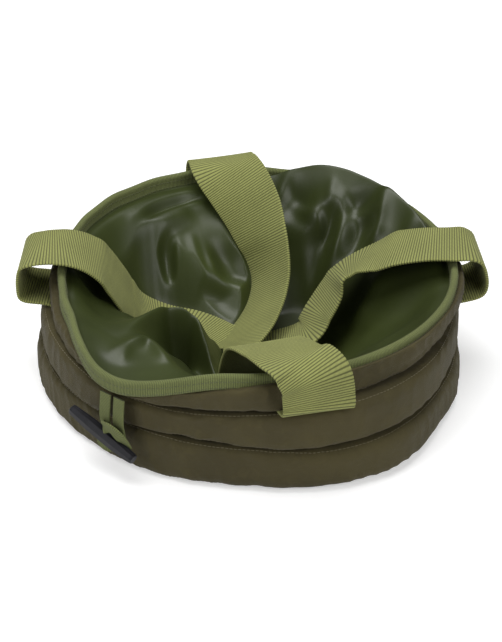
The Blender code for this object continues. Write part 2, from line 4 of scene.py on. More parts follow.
import bmesh
import bpy
import numpy as np
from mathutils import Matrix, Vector


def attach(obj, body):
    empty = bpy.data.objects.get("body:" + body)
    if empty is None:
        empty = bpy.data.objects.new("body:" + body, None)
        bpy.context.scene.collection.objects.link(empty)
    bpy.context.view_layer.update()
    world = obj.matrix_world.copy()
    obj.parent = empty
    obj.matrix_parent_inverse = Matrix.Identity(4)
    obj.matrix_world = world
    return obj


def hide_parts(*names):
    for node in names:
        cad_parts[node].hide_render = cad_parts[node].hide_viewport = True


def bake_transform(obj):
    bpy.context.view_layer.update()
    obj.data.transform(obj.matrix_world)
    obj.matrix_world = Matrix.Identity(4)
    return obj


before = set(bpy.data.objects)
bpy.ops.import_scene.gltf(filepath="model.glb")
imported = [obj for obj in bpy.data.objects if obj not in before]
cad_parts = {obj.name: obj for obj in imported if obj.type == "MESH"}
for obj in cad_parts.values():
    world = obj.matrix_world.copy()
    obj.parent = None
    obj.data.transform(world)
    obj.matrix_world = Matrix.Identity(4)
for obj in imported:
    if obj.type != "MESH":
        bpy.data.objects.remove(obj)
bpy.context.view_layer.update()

bl_info = {
    "name": "Collapsible Bucket",
    "version": (1, 0, 0),
    "blender": (4, 5, 0),
    "location": "3D View > Sidebar > Bucket",
    "description": "Soft surfaces and finishes of a collapsible camping bucket, folded flat",
    "category": "Add Mesh",
}

MM = 0.001

# The wall's outline in metres and degrees, as in the CAD source: each wave is its angle, its
# height and its half width
WALL_RADIUS = 0.141
RIM_RADIUS = 0.151
BASE_TOP = 0.0012
SEAM_LEVELS = (0.0327, 0.0632)
RIM_LEVEL = 0.0917
BINDING_DROP = 0.0105
BINDING_HALF = 0.0025
CORNER = 226.0
RIM_WAVES = [(172.0, -0.018, 80.0), (CORNER, 0.012, 32.0)]
RIM_SAGS = [(CORNER, -0.0115, 30.0), (203.0, -0.006, 45.0)]
UPPER_SEAM_SAGS = [(CORNER, -0.004, 36.0), (296.0, 0.004, 45.0)]
LOWER_SEAM_SAGS = [(238.0, 0.004, 45.0)]
UPPER_WAVES = [(172.0, -0.011, 80.0), (CORNER, 0.004, 32.0), (270.0, 0.006, 60.0)]
MIDDLE_WAVES = [(180.0, -0.006, 70.0), (292.0, 0.012, 50.0)]
LOWER_WAVES = [(205.0, -0.006, 50.0), (290.0, 0.011, 36.0), (310.0, 0.006, 70.0)]
SEAM_WAVES = [(172.0, -0.006, 80.0), (285.0, 0.005, 60.0)]

# Heights at which the lining is cut into its three sections
LINING_CUTS = (0.033, 0.063)

# Each roll's seed, how far its belly stands out from the wall, the belly's waves, and how much
# wider the creases under and over it are round CREASE_ANGLE
ROLLS = {
    "lower": (11, 0.014, LOWER_WAVES, 0.0, 0.0009),
    "middle": (23, 0.014, MIDDLE_WAVES, 0.0009, 0.0018),
    "upper": (37, 0.012, UPPER_WAVES, 0.0018, 0.0),
}
CREASE = 0.0004
CREASE_ANGLE = 248.0
CREASE_HALF = 26.0
# How squarely a roll turns, and how much of its height lies under its belly
ROLL_POWER = 0.44
BELLY_SHARE = 0.47
# How far the upper roll puffs out and up over the rim's tape at the front right, and how far the
# toggle's loop presses it in at the corner
PUFF_OUT = 0.0062
PUFF_UP = 0.0065
PRESSED = [(CORNER, 0.0014, 24.0)]
# The wall's slow waves, wrinkles, creases and puckers: how many cosines, how often they go round
# the bucket, and how fast they change up a roll. Then the puckers' height and their share of a roll
RIPPLES = ((7, (3, 11), 3.0), (12, (14, 46), 9.0), (10, (9, 60), 14.0), (8, (120, 190), 2.0))
PUCKER = 0.00018
PUCKER_SHARE = 0.12
# How much of a wrinkle's height the waves, the wrinkles and the creases have
WRINKLE_SHARES = (0.38, 0.16, 0.30)
# The rim's folded tape: its half thickness, and how far it wobbles, leans and splays
TAPE_HALF = 0.0004
TAPE_WOBBLE = 0.00018
TAPE_LEAN = 0.0003
TAPE_SPLAY = 0.0007
# Webbing: the width of its thicker edges, and how soon they reach their height
SELVEDGE = 0.0022
SELVEDGE_EASE = 0.0014
# Steps round the wall and up a roll, and the lengths that the maps of the wall and the rim cover
WALL_STEPS = (720, 44)
WALL_LENGTH = 2.0 * math.pi * 0.150
RIM_LENGTH = 0.942

# Straps, in millimetres: places of the middle line, with the direction of the width where it
# differs from the one before
OUTER_ROUTES = {
    "back": [(5.2, 147.5, 63, -1, .03, 0), (5.3, 152.1, 63), (5.6, 160.4, 67.1),
             (5.6, 161.6, 76.7), (6.2, 160.8, 91, -1, .03, -.05),
             (6.5, 151, 100.5, -1, .03, -.1)],
    "left": [(-134.8, 33.6, 63.6, -.21, -.98, 0), (-140.8, 35.1, 65.5), (-156.2, 39, 67.5),
             (-159.4, 39.7, 76.4), (-157, 38.6, 92.4, -.22, -.97, 0),
             (-146, 35, 98.5, -.23, -.97, 0)],
    "front": [(18.6, -151.8, 65.7, 1, .02, .04), (19.4, -158.4, 66.9),
              (20.5, -167.2, 69.2, .99, .07, 0), (20.6, -168, 77.3, .99, .08, 0),
              (18.4, -167.6, 93, .99, .10, 0), (12, -160, 101.5, .99, .12, 0)],
    "right": [(147.2, -10.3, 63, .07, 1, 0), (151.8, -10.6, 63), (169, -11.8, 67.1),
              (173.3, -12.1, 76.7), (170.5, -11.8, 91.4, .08, 1, 0), (163, -11, 97, .12, 1, 0)],
}
INNER_ROUTES = {
    "back": [(6.5, 151, 100.5, -49, 4, -5), (7, 135, 101, -49, 4, -7),
             (15, 119, 92, -47, 13, -12), (23, 103, 78, -41, 24, -16), (28, 88, 63, -32, 28, -26),
             (31, 79, 52, -26, 34, -26), (31.5, 70, 43, -22, 36, -26), (29, 60, 35, -20, 38, -24),
             (23, 48, 27, -20, 39, -23), (13, 34, 20, -21, 39, -21), (1, 20, 16, -22, 40, -19),
             (-12, 8, 14, -22, 41, -17)],
    "left": [(-146, 35, 98.5, -.23, -.97, 0), (-130, 33, 98.8), (-115, 33.5, 93.5, -.24, -.97, 0),
             (-103, 35, 84), (-95, 38, 72), (-86, 42, 55), (-77, 47, 37), (-67, 53, 23),
             (-51, 54, 13, -.24, -.97, -.06), (-33, 47, 10), (-13, 27, 8.5, -.24, -.97, 0)],
    "front": [(12, -160, 101.5, .99, .12, 0), (5, -150, 102.7), (-1.3, -134.2, 100.6),
              (-7.8, -116.8, 94.7), (-8.5, -97.7, 78.5), (-8, -80, 57, .99, .1, 0),
              (-5, -60, 36.8), (-1, -42, 24), (4, -25, 18), (10, 8, 14)],
    "right": [(163, -11, 97, .05, 1, 0), (150, -8, 97, 3, 50, -1), (132, -3, 95.5, 5, 50, -2),
              (114, 4, 90.5, 6, 50, -3), (101.5, 11, 83, 5, 49, -8), (90, 16.5, 76, 4, 48, -14),
              (79, 17.8, 69.3, 2, 48, -16), (71.3, 16.5, 64, 0, 47, -18),
              (67, 13.5, 54, -4, 48, -13), (57, 10, 39, -8, 47, -14), (45, 4, 25, -12, 45, -18),
              (20, 8, 13, -4, 49, -8), (-10, 9, 8, -2, 50, 0)],
}

# The loop's top edge: the width over both legs, and how far it lies under the binding and outside
# the rim's line. Then how far the hitch lies outside and under that edge, in metres
LEGS_WIDTH = 0.0215
TOP_DROP = 0.0013
TOP_OUT = 0.00255
HITCH_OUT = 0.0035
HITCH_DROP = 0.037
# The loop's legs, in millimetres along the sideways, outward and upward directions: the middle
# line's places, with the direction of the width
LEGS = [[(shift, .3, -1.6, 1, 0, 0), (shift, 1.2, -10), (foot, 1.4, -22), (foot, -1, -36)]
        for shift, foot in ((-6.2, -6.8), (6.2, 5.8))]
# The hitch over and under the toggle, the same along the toggle, outward and across it
HITCH_OVER = [(-10.5, -4.5, 1, 0, 0, 1), (-7.5, 1, 8.5, 0, .3, 1), (-1, 2.5, 12.5),
              (6.5, 1, 10, .6, 0, .8), (11.5, -4, 1, .9, 0, .4)]
HITCH_UNDER = [(-13, -3, -2, 0, 0, 1), (-9, -.5, -7.5), (-2, -1, -8.5), (3, -3.5, -4)]
HITCH_UNDER_WIDTH = 0.007
LOOP_RIB = 0.0011
LOOP_RELIEF = 0.00012
# The toggle's slant, how far its middle is off the hitch, the places of its sections from an end
# and from its middle, and their thickness from an end to the middle, in parts of 96
TOGGLE_SLANT = 17.0
TOGGLE_SHIFT = 0.008
TOGGLE_BEVELS = (0.0, 0.0004, 0.0018)
TOGGLE_FACETS = (0.021, 0.012)
TOGGLE_GIRTHS = (60, 68, 74, 84, 96, 97)

# The lining's drape, in millimetres: its radius at three levels, and how far it wanders by angle
DRAPE_LEVELS = (63.0, 33.0, 6.0)
DRAPE_RADII = (
    (114.0, [(132.0, 8.0, 24.0), (212.0, -21.0, 36.0), (264.0, -10.0, 30.0), (336.0, 9.0, 24.0)]),
    (85.0, [(48.0, 14.0, 34.0), (140.0, 13.0, 40.0), (208.0, -26.0, 42.0)]),
    (60.0, [(45.0, 26.0, 34.0), (142.0, 20.0, 40.0), (216.0, -14.0, 50.0)]),
)
# Crests of the big swells: places, then the reach of the left and right side and the rounding
SWELLS = {
    "swell": ([(20, 144, 85), (43, 138, 90), (57, 133, 96), (68, 128, 101), (78, 122, 105),
        (85, 117, 106.5), (94, 110, 107.5), (101, 104, 108), (109, 95, 107), (117, 84, 105.5),
        (122, 77, 105), (131, 62, 103.5), (138, 46, 101), (144, 28, 97), (148, 8, 91)],
        7, 15, 4.0),
    "mound": ([(-108, -52, 66), (-99, -44, 67), (-90, -35, 67.5), (-80, -23, 67), (-67, -9, 65),
        (-59, -2, 63), (-48, -1, 61), (-40, -4, 58), (-35, -13, 54), (-28, -30, 44),
        (-24, -42, 32)], 22, 5, 3.0),
}
# Crests of the folds: places with their rise over the bowl, then the same three sizes
FOLDS = {
    "hairpin_top": ([(-4, 137, 0), (-19, 134, 5), (-31, 131, 6), (-50, 122, 6), (-63, 112, 6),
        (-70, 106, 5), (-68, 104, 4), (-62, 106, 3), (-52, 111, 0)], 4.2, 5, 1.7),
    "hairpin_middle": ([(-1, 132, 0), (-15, 129, 6), (-26, 126, 7), (-44, 118, 6),
        (-56, 112, 4), (-61, 111, 0)], 4.55, 4.55, 1.7),
    "left_panel_edge": ([(-21, 123, 0), (-26, 119, 5), (-38, 112, 7), (-50, 105, 8),
        (-55, 99, 9), (-57, 90, 10), (-57, 80, 10), (-58, 73, 9), (-58, 68, 0)], 4.2, 24, 2.38),
    "crook": ([(-38, 107, 0), (-36, 99, 7), (-33, 91, 9), (-30, 82, 10), (-30, 77, 10),
        (-32, 74, 9), (-40, 72, 8), (-49, 70, 7), (-58, 69, 0)], 4.2, 4.2, 2.04),
    "grey_edge": ([(-25, 110, 0), (-23, 101, 5), (-21, 92, 7), (-19, 86, 8), (-15, 83, 8),
        (-6, 80, 8), (3, 76, 7), (11, 73, 6), (15, 71, 0)], 4.2, 9, 2.04),
    "grey_lip": ([(-17, 88, 0), (-11, 90, 6), (-3, 91, 7), (6, 91, 7), (15, 89, 6),
        (22, 84, 0)], 16, 4.2, 2.38),
    "lower_lip": ([(-31, 73, 0), (-22, 70, 5), (-11, 70, 6), (0, 70, 6), (10, 70, 4),
        (16, 71, 0)], 9, 4.2, 2.04),
    "arch": ([(-112, -73, 0), (-103, -64, 4), (-95, -57, 6), (-87, -52, 8), (-80, -47, 8),
        (-76, -48, 8), (-73, -57, 7), (-70, -72, 5), (-68, -84, 0)], 4.5, 4.55, 2.04),
    "inner_arch": ([(-101, -80, 0), (-99, -71, 4), (-94, -60, 5), (-87, -52, 5),
        (-81, -48, 0)], 4.2, 4.2, 1.36),
    "left_floor": ([(-118, 2, 0), (-108, 14, 3), (-96, 22, 4), (-86, 28, 4), (-90, -32, 0)],
        4.2, 16, 1.7),
    "back_lip": ([(45, 123, 0), (52, 118, 7), (59, 110, 9), (65, 101, 10), (70, 94, 11),
        (74, 87, 11), (76, 83, 0)], 12, 4.2, 2.04),
    "step_side": ([(76, 83, 0), (74, 80, 9), (68, 81, 8), (59, 83, 6), (48, 85, 0)],
        12, 4.2, 2.04),
    "step_edge": ([(48, 99, 0), (60, 93, 5), (69, 87, 6), (75, 85, 0)], 4.2, 14, 1.7),
    "tall_edge": ([(91, 104, 0), (85, 102, 7), (82, 99, 8), (83, 93, 8), (86, 89, 0)],
        9, 4.2, 1.7),
    "tall_fold": ([(90, 100, 0), (89, 91, 8), (87, 82, 11), (84, 75, 12), (80, 70, 11),
        (78, 63, 0)], 6, 6, 2.72),
    "side_fold": ([(117, 77, 0), (117, 72, 7), (116, 67, 9), (114, 63, 10), (111, 58, 10),
        (108, 53, 9), (104, 48, 0)], 6, 4.55, 2.04),
    "seam_ridge": ([(125, 42, 0), (131, 38, 4), (138, 35, 0)], 4.2, 7, 1.36),
    "right_panel_edge": ([(98, 33, 0), (99, 19, 8), (95, 13, 9), (90, 9, 9), (85, 6, 8),
        (78, 4, 0)], 26, 4.2, 2.38),
}
# Pockets under the folds: places with their depth, then their reach
POCKETS = {
    "hairpin_slit": ([(-7, 132, 0), (-22, 130, 6.4), (-37, 124, 7.2), (-50, 117, 6.4),
        (-59, 111, 1.2)], 3),
    "left_pocket": ([(-47, 103, 0), (-45, 98, 10), (-45, 92, 13), (-45, 84, 13),
        (-46, 78, 4)], 9),
    "grey_pocket": ([(-11, 91, 0), (-3, 93, 11.2), (8, 90, 13.6), (21, 83, 4.8)], 9.2),
    "under_lip": ([(-54, 70, 0), (-41, 72, 9.6), (-24, 72, 10.4), (-6, 72, 10.4),
        (9, 71, 3.2)], 8.05),
    "mound_pocket": ([(-65, -17, 0), (-60, -19, 8), (-51, -17, 8), (-42, -25, 2.4)], 13.8),
    "left_gap": ([(-118, 24, 0), (-109, 35, 11.2), (-99, 41, 12.8), (-89, 46, 11.2),
        (-81, 48, 3.2)], 11.5),
    "back_pocket": ([(50, 122, 0), (56, 116, 12), (63, 108, 12.8), (67, 98, 4.8)], 9.2),
    "step_pocket": ([(84, 94, 0), (81, 88, 11.2), (77, 82, 13.6), (70, 80, 13.6),
        (60, 79, 4.8)], 10.35),
    "cup": ([(104, 88, 0), (102, 84, 7.2), (100, 76, 2)], 10.35),
    "side_valley": ([(106, 72, 0), (103, 69, 8.8), (97, 63, 10.4), (93, 56, 4)], 9.2),
}
# How far a fold leans towards the front for each millimetre that it stands over the bowl
FOLD_LEAN = 0.4
FOLD_WAY = (-0.17, -0.985)
# How closely crossing folds merge, for each millimetre
FOLD_MERGE = 0.6
# How many times the bowl and the folds are averaged, round the bucket and along its radius
BOWL_ROUNDS = (10, 6)
FOLD_ROUNDS = (16, 9)
# How far the lining's edge hangs inside the rim's line and under its top, in millimetres
EDGE_INSET = 2.4
EDGE_DROP = 10.0
# The table of the straps' heights, in millimetres: the size of a cell, the table's half width, how
# steeply the cloth rises beside a strap, how far under the strap it stays, and how many times the
# table is spread outward and then averaged
CELL = 1.0
TABLE_REACH = 170.0
STRAP_SLOPE = 2.4
STRAP_CLEARANCE = 3.2
SPREAD_ROUNDS = 36
AVERAGE_ROUNDS = 10
# Steps round the lining and from its edge to its middle
LINING_STEPS = (900, 190)


# Sizes and colours that the panel shows

def length(name, description, default):
    """A length property in metres."""
    return bpy.props.FloatProperty(name=name, description=description, default=default,
                                   min=0.0, precision=5, unit="LENGTH", subtype="DISTANCE")


def colour(name, description, default):
    """A colour property."""
    return bpy.props.FloatVectorProperty(name=name, description=description, default=default,
                                         size=3, min=0.0, max=1.0, subtype="COLOR")


class BucketSizes(bpy.types.PropertyGroup):
    """Sizes of the bucket's cloth, tape and thread."""
    strap_width: length("Strap Width", "Width of the carry straps", 0.050)
    strap_thickness: length("Strap Thickness", "Thickness of the carry straps", 0.0016)
    strap_rib: length("Strap Rib", "Distance between two ribs of the webbing", 0.00185)
    strap_relief: length("Strap Relief", "Height of the webbing's ribs", 0.00026)
    binding_rib: length("Binding Rib", "Distance between two ribs of the rim's tape", 0.00115)
    binding_relief: length("Binding Relief", "Height of the rim tape's ribs", 0.00014)
    tape_width: length("Loop Width", "Width of the toggle loop's tape", 0.0095)
    tape_thickness: length("Loop Thickness", "Thickness of the toggle loop's tape", 0.0014)
    stitch_pitch: length("Stitch Pitch", "Distance between two stitches", 0.0030)
    stitch_length: length("Stitch Length", "Length of one stitch", 0.0022)
    thread: length("Thread", "Diameter of the sewing thread", 0.0005)
    wrinkle: length("Wrinkle", "Height of the wall's larger wrinkles", 0.0013)
    toggle_length: length("Toggle Length", "Length of the toggle", 0.060)
    toggle_thickness: length("Toggle Thickness", "Thickness of the toggle's middle", 0.0096)


class BucketColours(bpy.types.PropertyGroup):
    """Colours of the bucket's materials."""
    nylon: colour("Nylon", "The outer wall's cloth", (0.060, 0.050, 0.019))
    lining: colour("Lining", "The coated lining", (0.030, 0.040, 0.008))
    webbing: colour("Webbing", "The carry straps", (0.255, 0.270, 0.085))
    tape: colour("Tape", "The rim's binding and the toggle loop", (0.150, 0.172, 0.058))
    thread: colour("Thread", "The topstitching on the wall", (0.120, 0.102, 0.050))
    toggle: colour("Toggle", "The moulded toggle", (0.008, 0.008, 0.010))
    wire: colour("Wire", "The sprung hoops", (0.550, 0.550, 0.560))
    cord: colour("Cord", "The cord inside the rim", (0.700, 0.700, 0.680))
    floor: colour("Floor", "The floor under the bucket", (0.800, 0.800, 0.800))


# Shader maths and finishes

def arithmetic(operation, turned=False):
    """A method of Wire that adds one Math node, on the wire and the other value if any."""

    def method(wire, *other):
        values = (*other, wire) if turned else (wire, *other)
        return wire.finish.node("Math", {"operation": operation}, dict(enumerate(values)))
    return method


class Wire:
    """One output of a shader node; arithmetic on it adds Math nodes."""

    def __init__(self, finish, socket):
        self.finish = finish
        self.socket = socket

    __add__ = __radd__ = arithmetic("ADD")
    __mul__ = __rmul__ = arithmetic("MULTIPLY")
    __rsub__ = arithmetic("SUBTRACT", turned=True)
    __abs__ = arithmetic("ABSOLUTE")
    sine = arithmetic("SINE")


class Tree:
    """A material's or world's node tree, emptied, that nodes are added to."""

    def __init__(self, owner):
        owner.use_nodes = True
        self.tree = owner.node_tree
        self.tree.nodes.clear()

    def feed(self, node, socket, value):
        """Sets a socket's value or links a wire to it."""
        if isinstance(value, Wire):
            self.tree.links.new(value.socket, node.inputs[socket])
        elif isinstance(value, (tuple, list)) and len(value) == 3 \
                and len(getattr(node.inputs[socket], "default_value", value)) == 4:
            node.inputs[socket].default_value = (*value, 1.0)
        else:
            node.inputs[socket].default_value = value

    def node(self, kind, settings, values, output=0):
        """Adds a node: its settings first, then its sockets' values or links."""
        node = self.tree.nodes.new("ShaderNode" + kind)
        for name, value in settings.items():
            if name == "stops":
                ramp = node.color_ramp.elements
                while len(ramp) < len(value):
                    ramp.new(1.0)
                for stop, (place, grey) in zip(ramp, value):
                    stop.position = place
                    stop.color = (grey, grey, grey, 1.0)
            else:
                setattr(node, name, value)
        for socket, value in values.items():
            self.feed(node, socket, value)
        return Wire(self, node.outputs[output]) if node.outputs else None


class Finish(Tree):
    """A material and its node tree round one Principled shader."""

    def __init__(self, name, **constants):
        self.material = bpy.data.materials.new(name)
        super().__init__(self.material)
        surface = self.node("BsdfPrincipled", {}, {})
        self.shader = surface.socket.node
        self.node("OutputMaterial", {}, {0: surface})
        self.set(**constants)

    def set(self, **values):
        """Feeds the shader's sockets, named with _ for a space, and returns the material."""
        for socket, value in values.items():
            self.feed(self.shader, socket.replace("_", " "), value)
        return self.material

    def place(self, scale=(1.0, 1.0, 1.0)):
        """The object's own coordinates, stretched."""
        spot = self.node("TexCoord", {}, {}, "Object")
        return self.node("Mapping", {}, {"Vector": spot, "Scale": scale})

    def split(self, spot):
        """The first two parts of a place."""
        first = self.node("SeparateXYZ", {}, {"Vector": spot}, "X")
        return first, Wire(self, first.socket.node.outputs["Y"])

    def cloth(self):
        """Metres along and across the cloth, from the piece's own map."""
        return self.split(self.node("UVMap", {"uv_map": "UVMap"}, {}))

    def noise(self, size, detail=3.0, rough=0.5, where=None, distortion=0.0):
        """Noise with features of a size in metres, from 0 to 1."""
        return self.node("TexNoise", {}, {"Vector": where or self.place(), "Scale": 1.0 / size,
                                          "Detail": detail, "Roughness": rough,
                                          "Distortion": distortion})

    def ramp(self, factor, *stops):
        """A grey ramp through (place, shade) stops."""
        return self.node("ValToRGB", {"stops": stops}, {0: factor})

    def mix(self, factor, first, second):
        """One colour mixed with another."""
        return self.node("Mix", {"data_type": "RGBA"}, {0: factor, 6: first, 7: second}, 2)

    def tones(self, factor, tint, low, high, start=0.3, end=0.7):
        """A tint that goes from one shade of it to another between two values of the factor."""
        return self.mix(self.ramp(factor, (start, 0.0), (end, 1.0)), shade(tint, low),
                        shade(tint, high))

    def overlay(self, wave, share, base, top):
        """A base colour with another one over it where a wave from -1 to 1 is high."""
        return self.mix((wave * 0.5 + 0.5) * share, base, top)

    def bump(self, height, distance, strength, normal=None):
        """Relief of a height, in metres for a height of 1."""
        values = {"Height": height, "Distance": distance, "Strength": strength}
        if normal is not None:
            values["Normal"] = normal
        return self.node("Bump", {}, values)


def shade(colour_value, factor):
    """A colour times a factor."""
    return tuple(min(1.0, c * factor) for c in colour_value)


def woven(along, across):
    """A plain weave: the product of two sines whose wave is one yarn's 0.55 mm."""
    threads = 2.0 * math.pi / 0.00055
    return (along * threads).sine() * (across * threads).sine()


def nylon_finish(colours):
    """Matt woven nylon: a fine plain weave and soft creasing, paler where it stands up, partly as
    dust and partly as a painted sheen.
    """
    finish = Finish("Olive nylon", Specular_IOR_Level=0.22, Sheen_Weight=0.06,
                    Sheen_Roughness=0.5)
    weave = woven(*finish.cloth())
    crumple = finish.noise(0.010, 5.0, 0.62, distortion=0.6)
    base = finish.tones(finish.noise(0.060, 2.0), colours.nylon, 0.86, 1.16, 0.35, 0.65)
    # Paler where the crumple stands up: partly dust, partly a painted sheen on the raised creases
    base = finish.mix(finish.ramp(crumple, (0.52, 0.0), (0.80, 1.0)), base,
                      shade(colours.nylon, 1.30))
    relief = finish.bump(crumple, 0.0016, 0.55)
    return finish.set(Base_Color=finish.overlay(weave, 0.35, base, shade(colours.nylon, 0.62)),
                      Roughness=0.70 + crumple * 0.18,
                      Normal=finish.bump(weave, 0.00008, 0.6, relief))


def base_finish(colours):
    """The nylon on the base, woven in the object's own coordinates."""
    finish = Finish("Base nylon", Roughness=0.78, Specular_IOR_Level=0.22)
    weave = woven(*finish.split(finish.place()))
    crumple = finish.noise(0.012, 4.0, 0.6)
    base = finish.mix(crumple, shade(colours.nylon, 0.8), shade(colours.nylon, 1.3))
    return finish.set(Base_Color=finish.overlay(weave, 0.3, base, shade(colours.nylon, 0.6)),
                      Normal=finish.bump(weave, 0.00008, 0.6))


def lining_finish(colours):
    """Coated cloth: a glossy skin with a fine grain, slow changes of tone and small dents."""
    finish = Finish("Coated lining", Specular_IOR_Level=0.48)
    dents = finish.noise(0.016, 3.0, 0.45, distortion=0.5)
    fine = finish.noise(0.0022, 2.0)
    slow = finish.noise(0.050, 2.0)
    relief = finish.bump(dents, 0.0008, 0.10)
    return finish.set(Base_Color=finish.tones(slow, colours.lining, 0.80, 1.25),
                      Roughness=0.38 + slow * 0.08 + fine * 0.04,
                      Normal=finish.bump(fine, 0.00006, 0.5, relief))


def webbing_finish(name, rib, tint):
    """Ribbed webbing: yarns across the strap, painted shade between the ribs, fuzz and slight
    fading.
    """
    finish = Finish(name, Specular_IOR_Level=0.25, Sheen_Weight=0.06, Sheen_Roughness=0.6)
    along, across = finish.cloth()
    rib_wave = (along * (2.0 * math.pi / rib)).sine()
    # Painted shade: a mask that is high in the grooves between the ribs
    painted_rib_shade = 1.0 - abs((along * (math.pi / rib)).sine())
    beads = (across * (2.0 * math.pi / 0.0011) + rib_wave * 1.2).sine()
    twill = (across * (2.0 * math.pi / 0.0048) + along * (math.pi / rib)).sine()
    fuzz = finish.noise(0.0013, 3.0, 0.6)
    base = finish.tones(finish.noise(0.030, 2.0), tint, 0.88, 1.12)
    base = finish.overlay(beads, 0.30, base, shade(tint, 0.60))
    base = finish.overlay(twill, 0.18, base, shade(tint, 1.35))
    base = finish.mix(finish.ramp(fuzz, (0.45, 0.0), (0.75, 0.5)), base, shade(tint, 1.30))
    # Painted shade darkens the colour in the grooves between the ribs
    base = finish.mix(finish.ramp(painted_rib_shade, (0.22, 0.0), (0.75, 0.95)), base, shade(tint, 0.28))
    return finish.set(Base_Color=base, Roughness=0.78 + fuzz * 0.14,
                      Normal=finish.bump(beads * 0.7 + fuzz, 0.00010, 0.7))


def toggle_finish(colours):
    """Moulded black plastic with a fine satin grain and slightly paler patches."""
    finish = Finish("Black plastic", Specular_IOR_Level=0.22)
    slow = finish.noise(0.012, 3.0)
    return finish.set(Base_Color=finish.tones(slow, colours.toggle, 1.0, 1.7, 0.45),
                      Roughness=0.36 + slow * 0.16,
                      Normal=finish.bump(finish.noise(0.0007, 3.0), 0.00005, 0.5))


def grained_finish(name, tint, grain, tones, roughness, relief, **constants):
    """A plain material whose colour, roughness and relief follow one grain: the grain's size,
    detail and stretch, two shades, the roughness and its rise, and the relief and its share."""
    finish = Finish(name, **constants)
    size, detail, stretch = grain
    marks = finish.noise(size, detail, where=finish.place((1.0, 1.0, stretch)))
    return finish.set(Base_Color=finish.mix(marks, shade(tint, tones[0]), shade(tint, tones[1])),
                      Roughness=roughness[0] + marks * roughness[1],
                      Normal=finish.bump(marks, *relief))


def thread_finish(name, tint):
    """Sewing thread: fine twist and a slight sheen."""
    return grained_finish(name, tint, (0.0006, 2.0, 2.5), (0.7, 1.3), (0.6, 0.0), (0.00008, 0.6),
                          Sheen_Weight=0.2)


def floor_finish(colours):
    """A pale floor that glows a little for camera, glossy and clear rays, so that they see white
    outside the shadow."""
    finish = Finish("Pale floor", Specular_IOR_Level=0.1, Base_Color=tuple(colours.floor))
    rays = finish.node("LightPath", {}, {}, "Is Camera Ray")
    outputs = rays.socket.node.outputs
    seen = rays + Wire(finish, outputs["Is Glossy Ray"]) \
        + Wire(finish, outputs["Is Transmission Ray"])
    seen = finish.node("Clamp", {}, {0: seen})
    return finish.set(Emission_Color=finish.mix(seen, (0.0, 0.0, 0.0), (1.0, 1.0, 1.0)),
                      Emission_Strength=0.42, Roughness=0.88 + finish.noise(0.5, 2.0) * 0.04)


# Surfaces

def waved(base, waves, angles):
    """A base value plus local waves, each its height times the squared cosine of a quarter turn
    times the offset over the half width."""
    value = np.full(np.shape(angles), float(base))
    for centre, height, half in waves:
        off = np.abs((angles - centre + 180.0) % 360.0 - 180.0)
        value = value + height * np.cos(0.5 * np.pi * np.minimum(off / half, 1.0)) ** 2
    return value


# The wall's outline in metres, at angles in degrees
rim_radius = partial(waved, RIM_RADIUS, RIM_WAVES)
rim_height = partial(waved, RIM_LEVEL, RIM_SAGS)
seam_radius = partial(waved, WALL_RADIUS, SEAM_WAVES)
lower_seam = partial(waved, SEAM_LEVELS[0], LOWER_SEAM_SAGS)
upper_seam = partial(waved, SEAM_LEVELS[1], UPPER_SEAM_SAGS)


def tape_cover(angles):
    """How far the upper roll puffs up over the rim's tape, from 0 to 1: the front right part."""
    turned = (angles - 180.0) % 360.0
    return smooth_step(turned, 70.0, 94.0) * (1.0 - smooth_step(turned, 190.0, 215.0))


def ripple(angles, other, seed, count, turns, rate):
    """A sum of cosines, each with a whole number of turns round the bucket plus a rate along the
    other direction, and a random phase; its spread is about 1."""
    rng = np.random.default_rng(seed)
    value = 0.0
    for _ in range(count):
        whole = rng.integers(turns[0], turns[1] + 1)
        value = value + np.cos(np.radians(angles) * whole + other * rng.uniform(-rate, rate)
                               + rng.uniform(0.0, 2.0 * np.pi))
    return value * (2.0 / count) ** 0.5


def smooth_step(values, start, end):
    """0 before start, 1 after end, and the cubic 3t^2 - 2t^3 between them."""
    t = np.clip((values - start) / (end - start), 0.0, 1.0)
    return t * t * (3.0 - 2.0 * t)


def polar(angles, radius, height):
    """Points at angles in degrees, radii and heights."""
    turn = np.radians(angles)
    radius, height, turn = np.broadcast_arrays(radius, height, turn)
    return np.stack([radius * np.cos(turn), radius * np.sin(turn), height], -1)


def unit(vectors):
    """Vectors over their own lengths."""
    return vectors / np.maximum(np.linalg.norm(vectors, axis=-1, keepdims=True), 1e-12)


def slope(points, axis, round_way):
    """Central differences of a grid's points along one axis."""
    if round_way:
        return np.roll(points, -1, axis) - np.roll(points, 1, axis)
    return np.gradient(points, axis=axis)


def grid_normals(points):
    """Unit cross products of the two differences of a grid that is round in its first way."""
    return unit(np.cross(slope(points, 0, True), slope(points, 1, False)))


def run_along(line):
    """Length from the start of a line of points to each of them."""
    return np.concatenate([[0.0], np.cumsum(np.linalg.norm(np.diff(line, axis=0), axis=1))])


def sample(at, run, values):
    """Rows of values between the given ones, linear by the length of the line."""
    return np.stack([np.interp(at, run, column) for column in values.T], 1)


def patch(points, uv, round_u=False, round_v=False):
    """A grid of points joined by one quad between neighbours; a round way joins its end back to
    its start. The map has one more row or column than the points on a round way."""
    rows, columns = points.shape[:2]
    a, b = np.meshgrid(np.arange(rows if round_u else rows - 1),
                       np.arange(columns if round_v else columns - 1), indexing="ij")
    a, b = a.ravel(), b.ravel()
    corners = [(a, b), (a + 1, b), (a + 1, b + 1), (a, b + 1)]
    faces = np.stack([(i % rows) * columns + j % columns for i, j in corners], 1)
    return (points.reshape(-1, 3), faces, np.stack([uv[i, j] for i, j in corners], 1))


def map_grid(u, v):
    """The map of a grid from its two lists of metres."""
    return np.stack(np.meshgrid(u, v, indexing="ij"), -1)


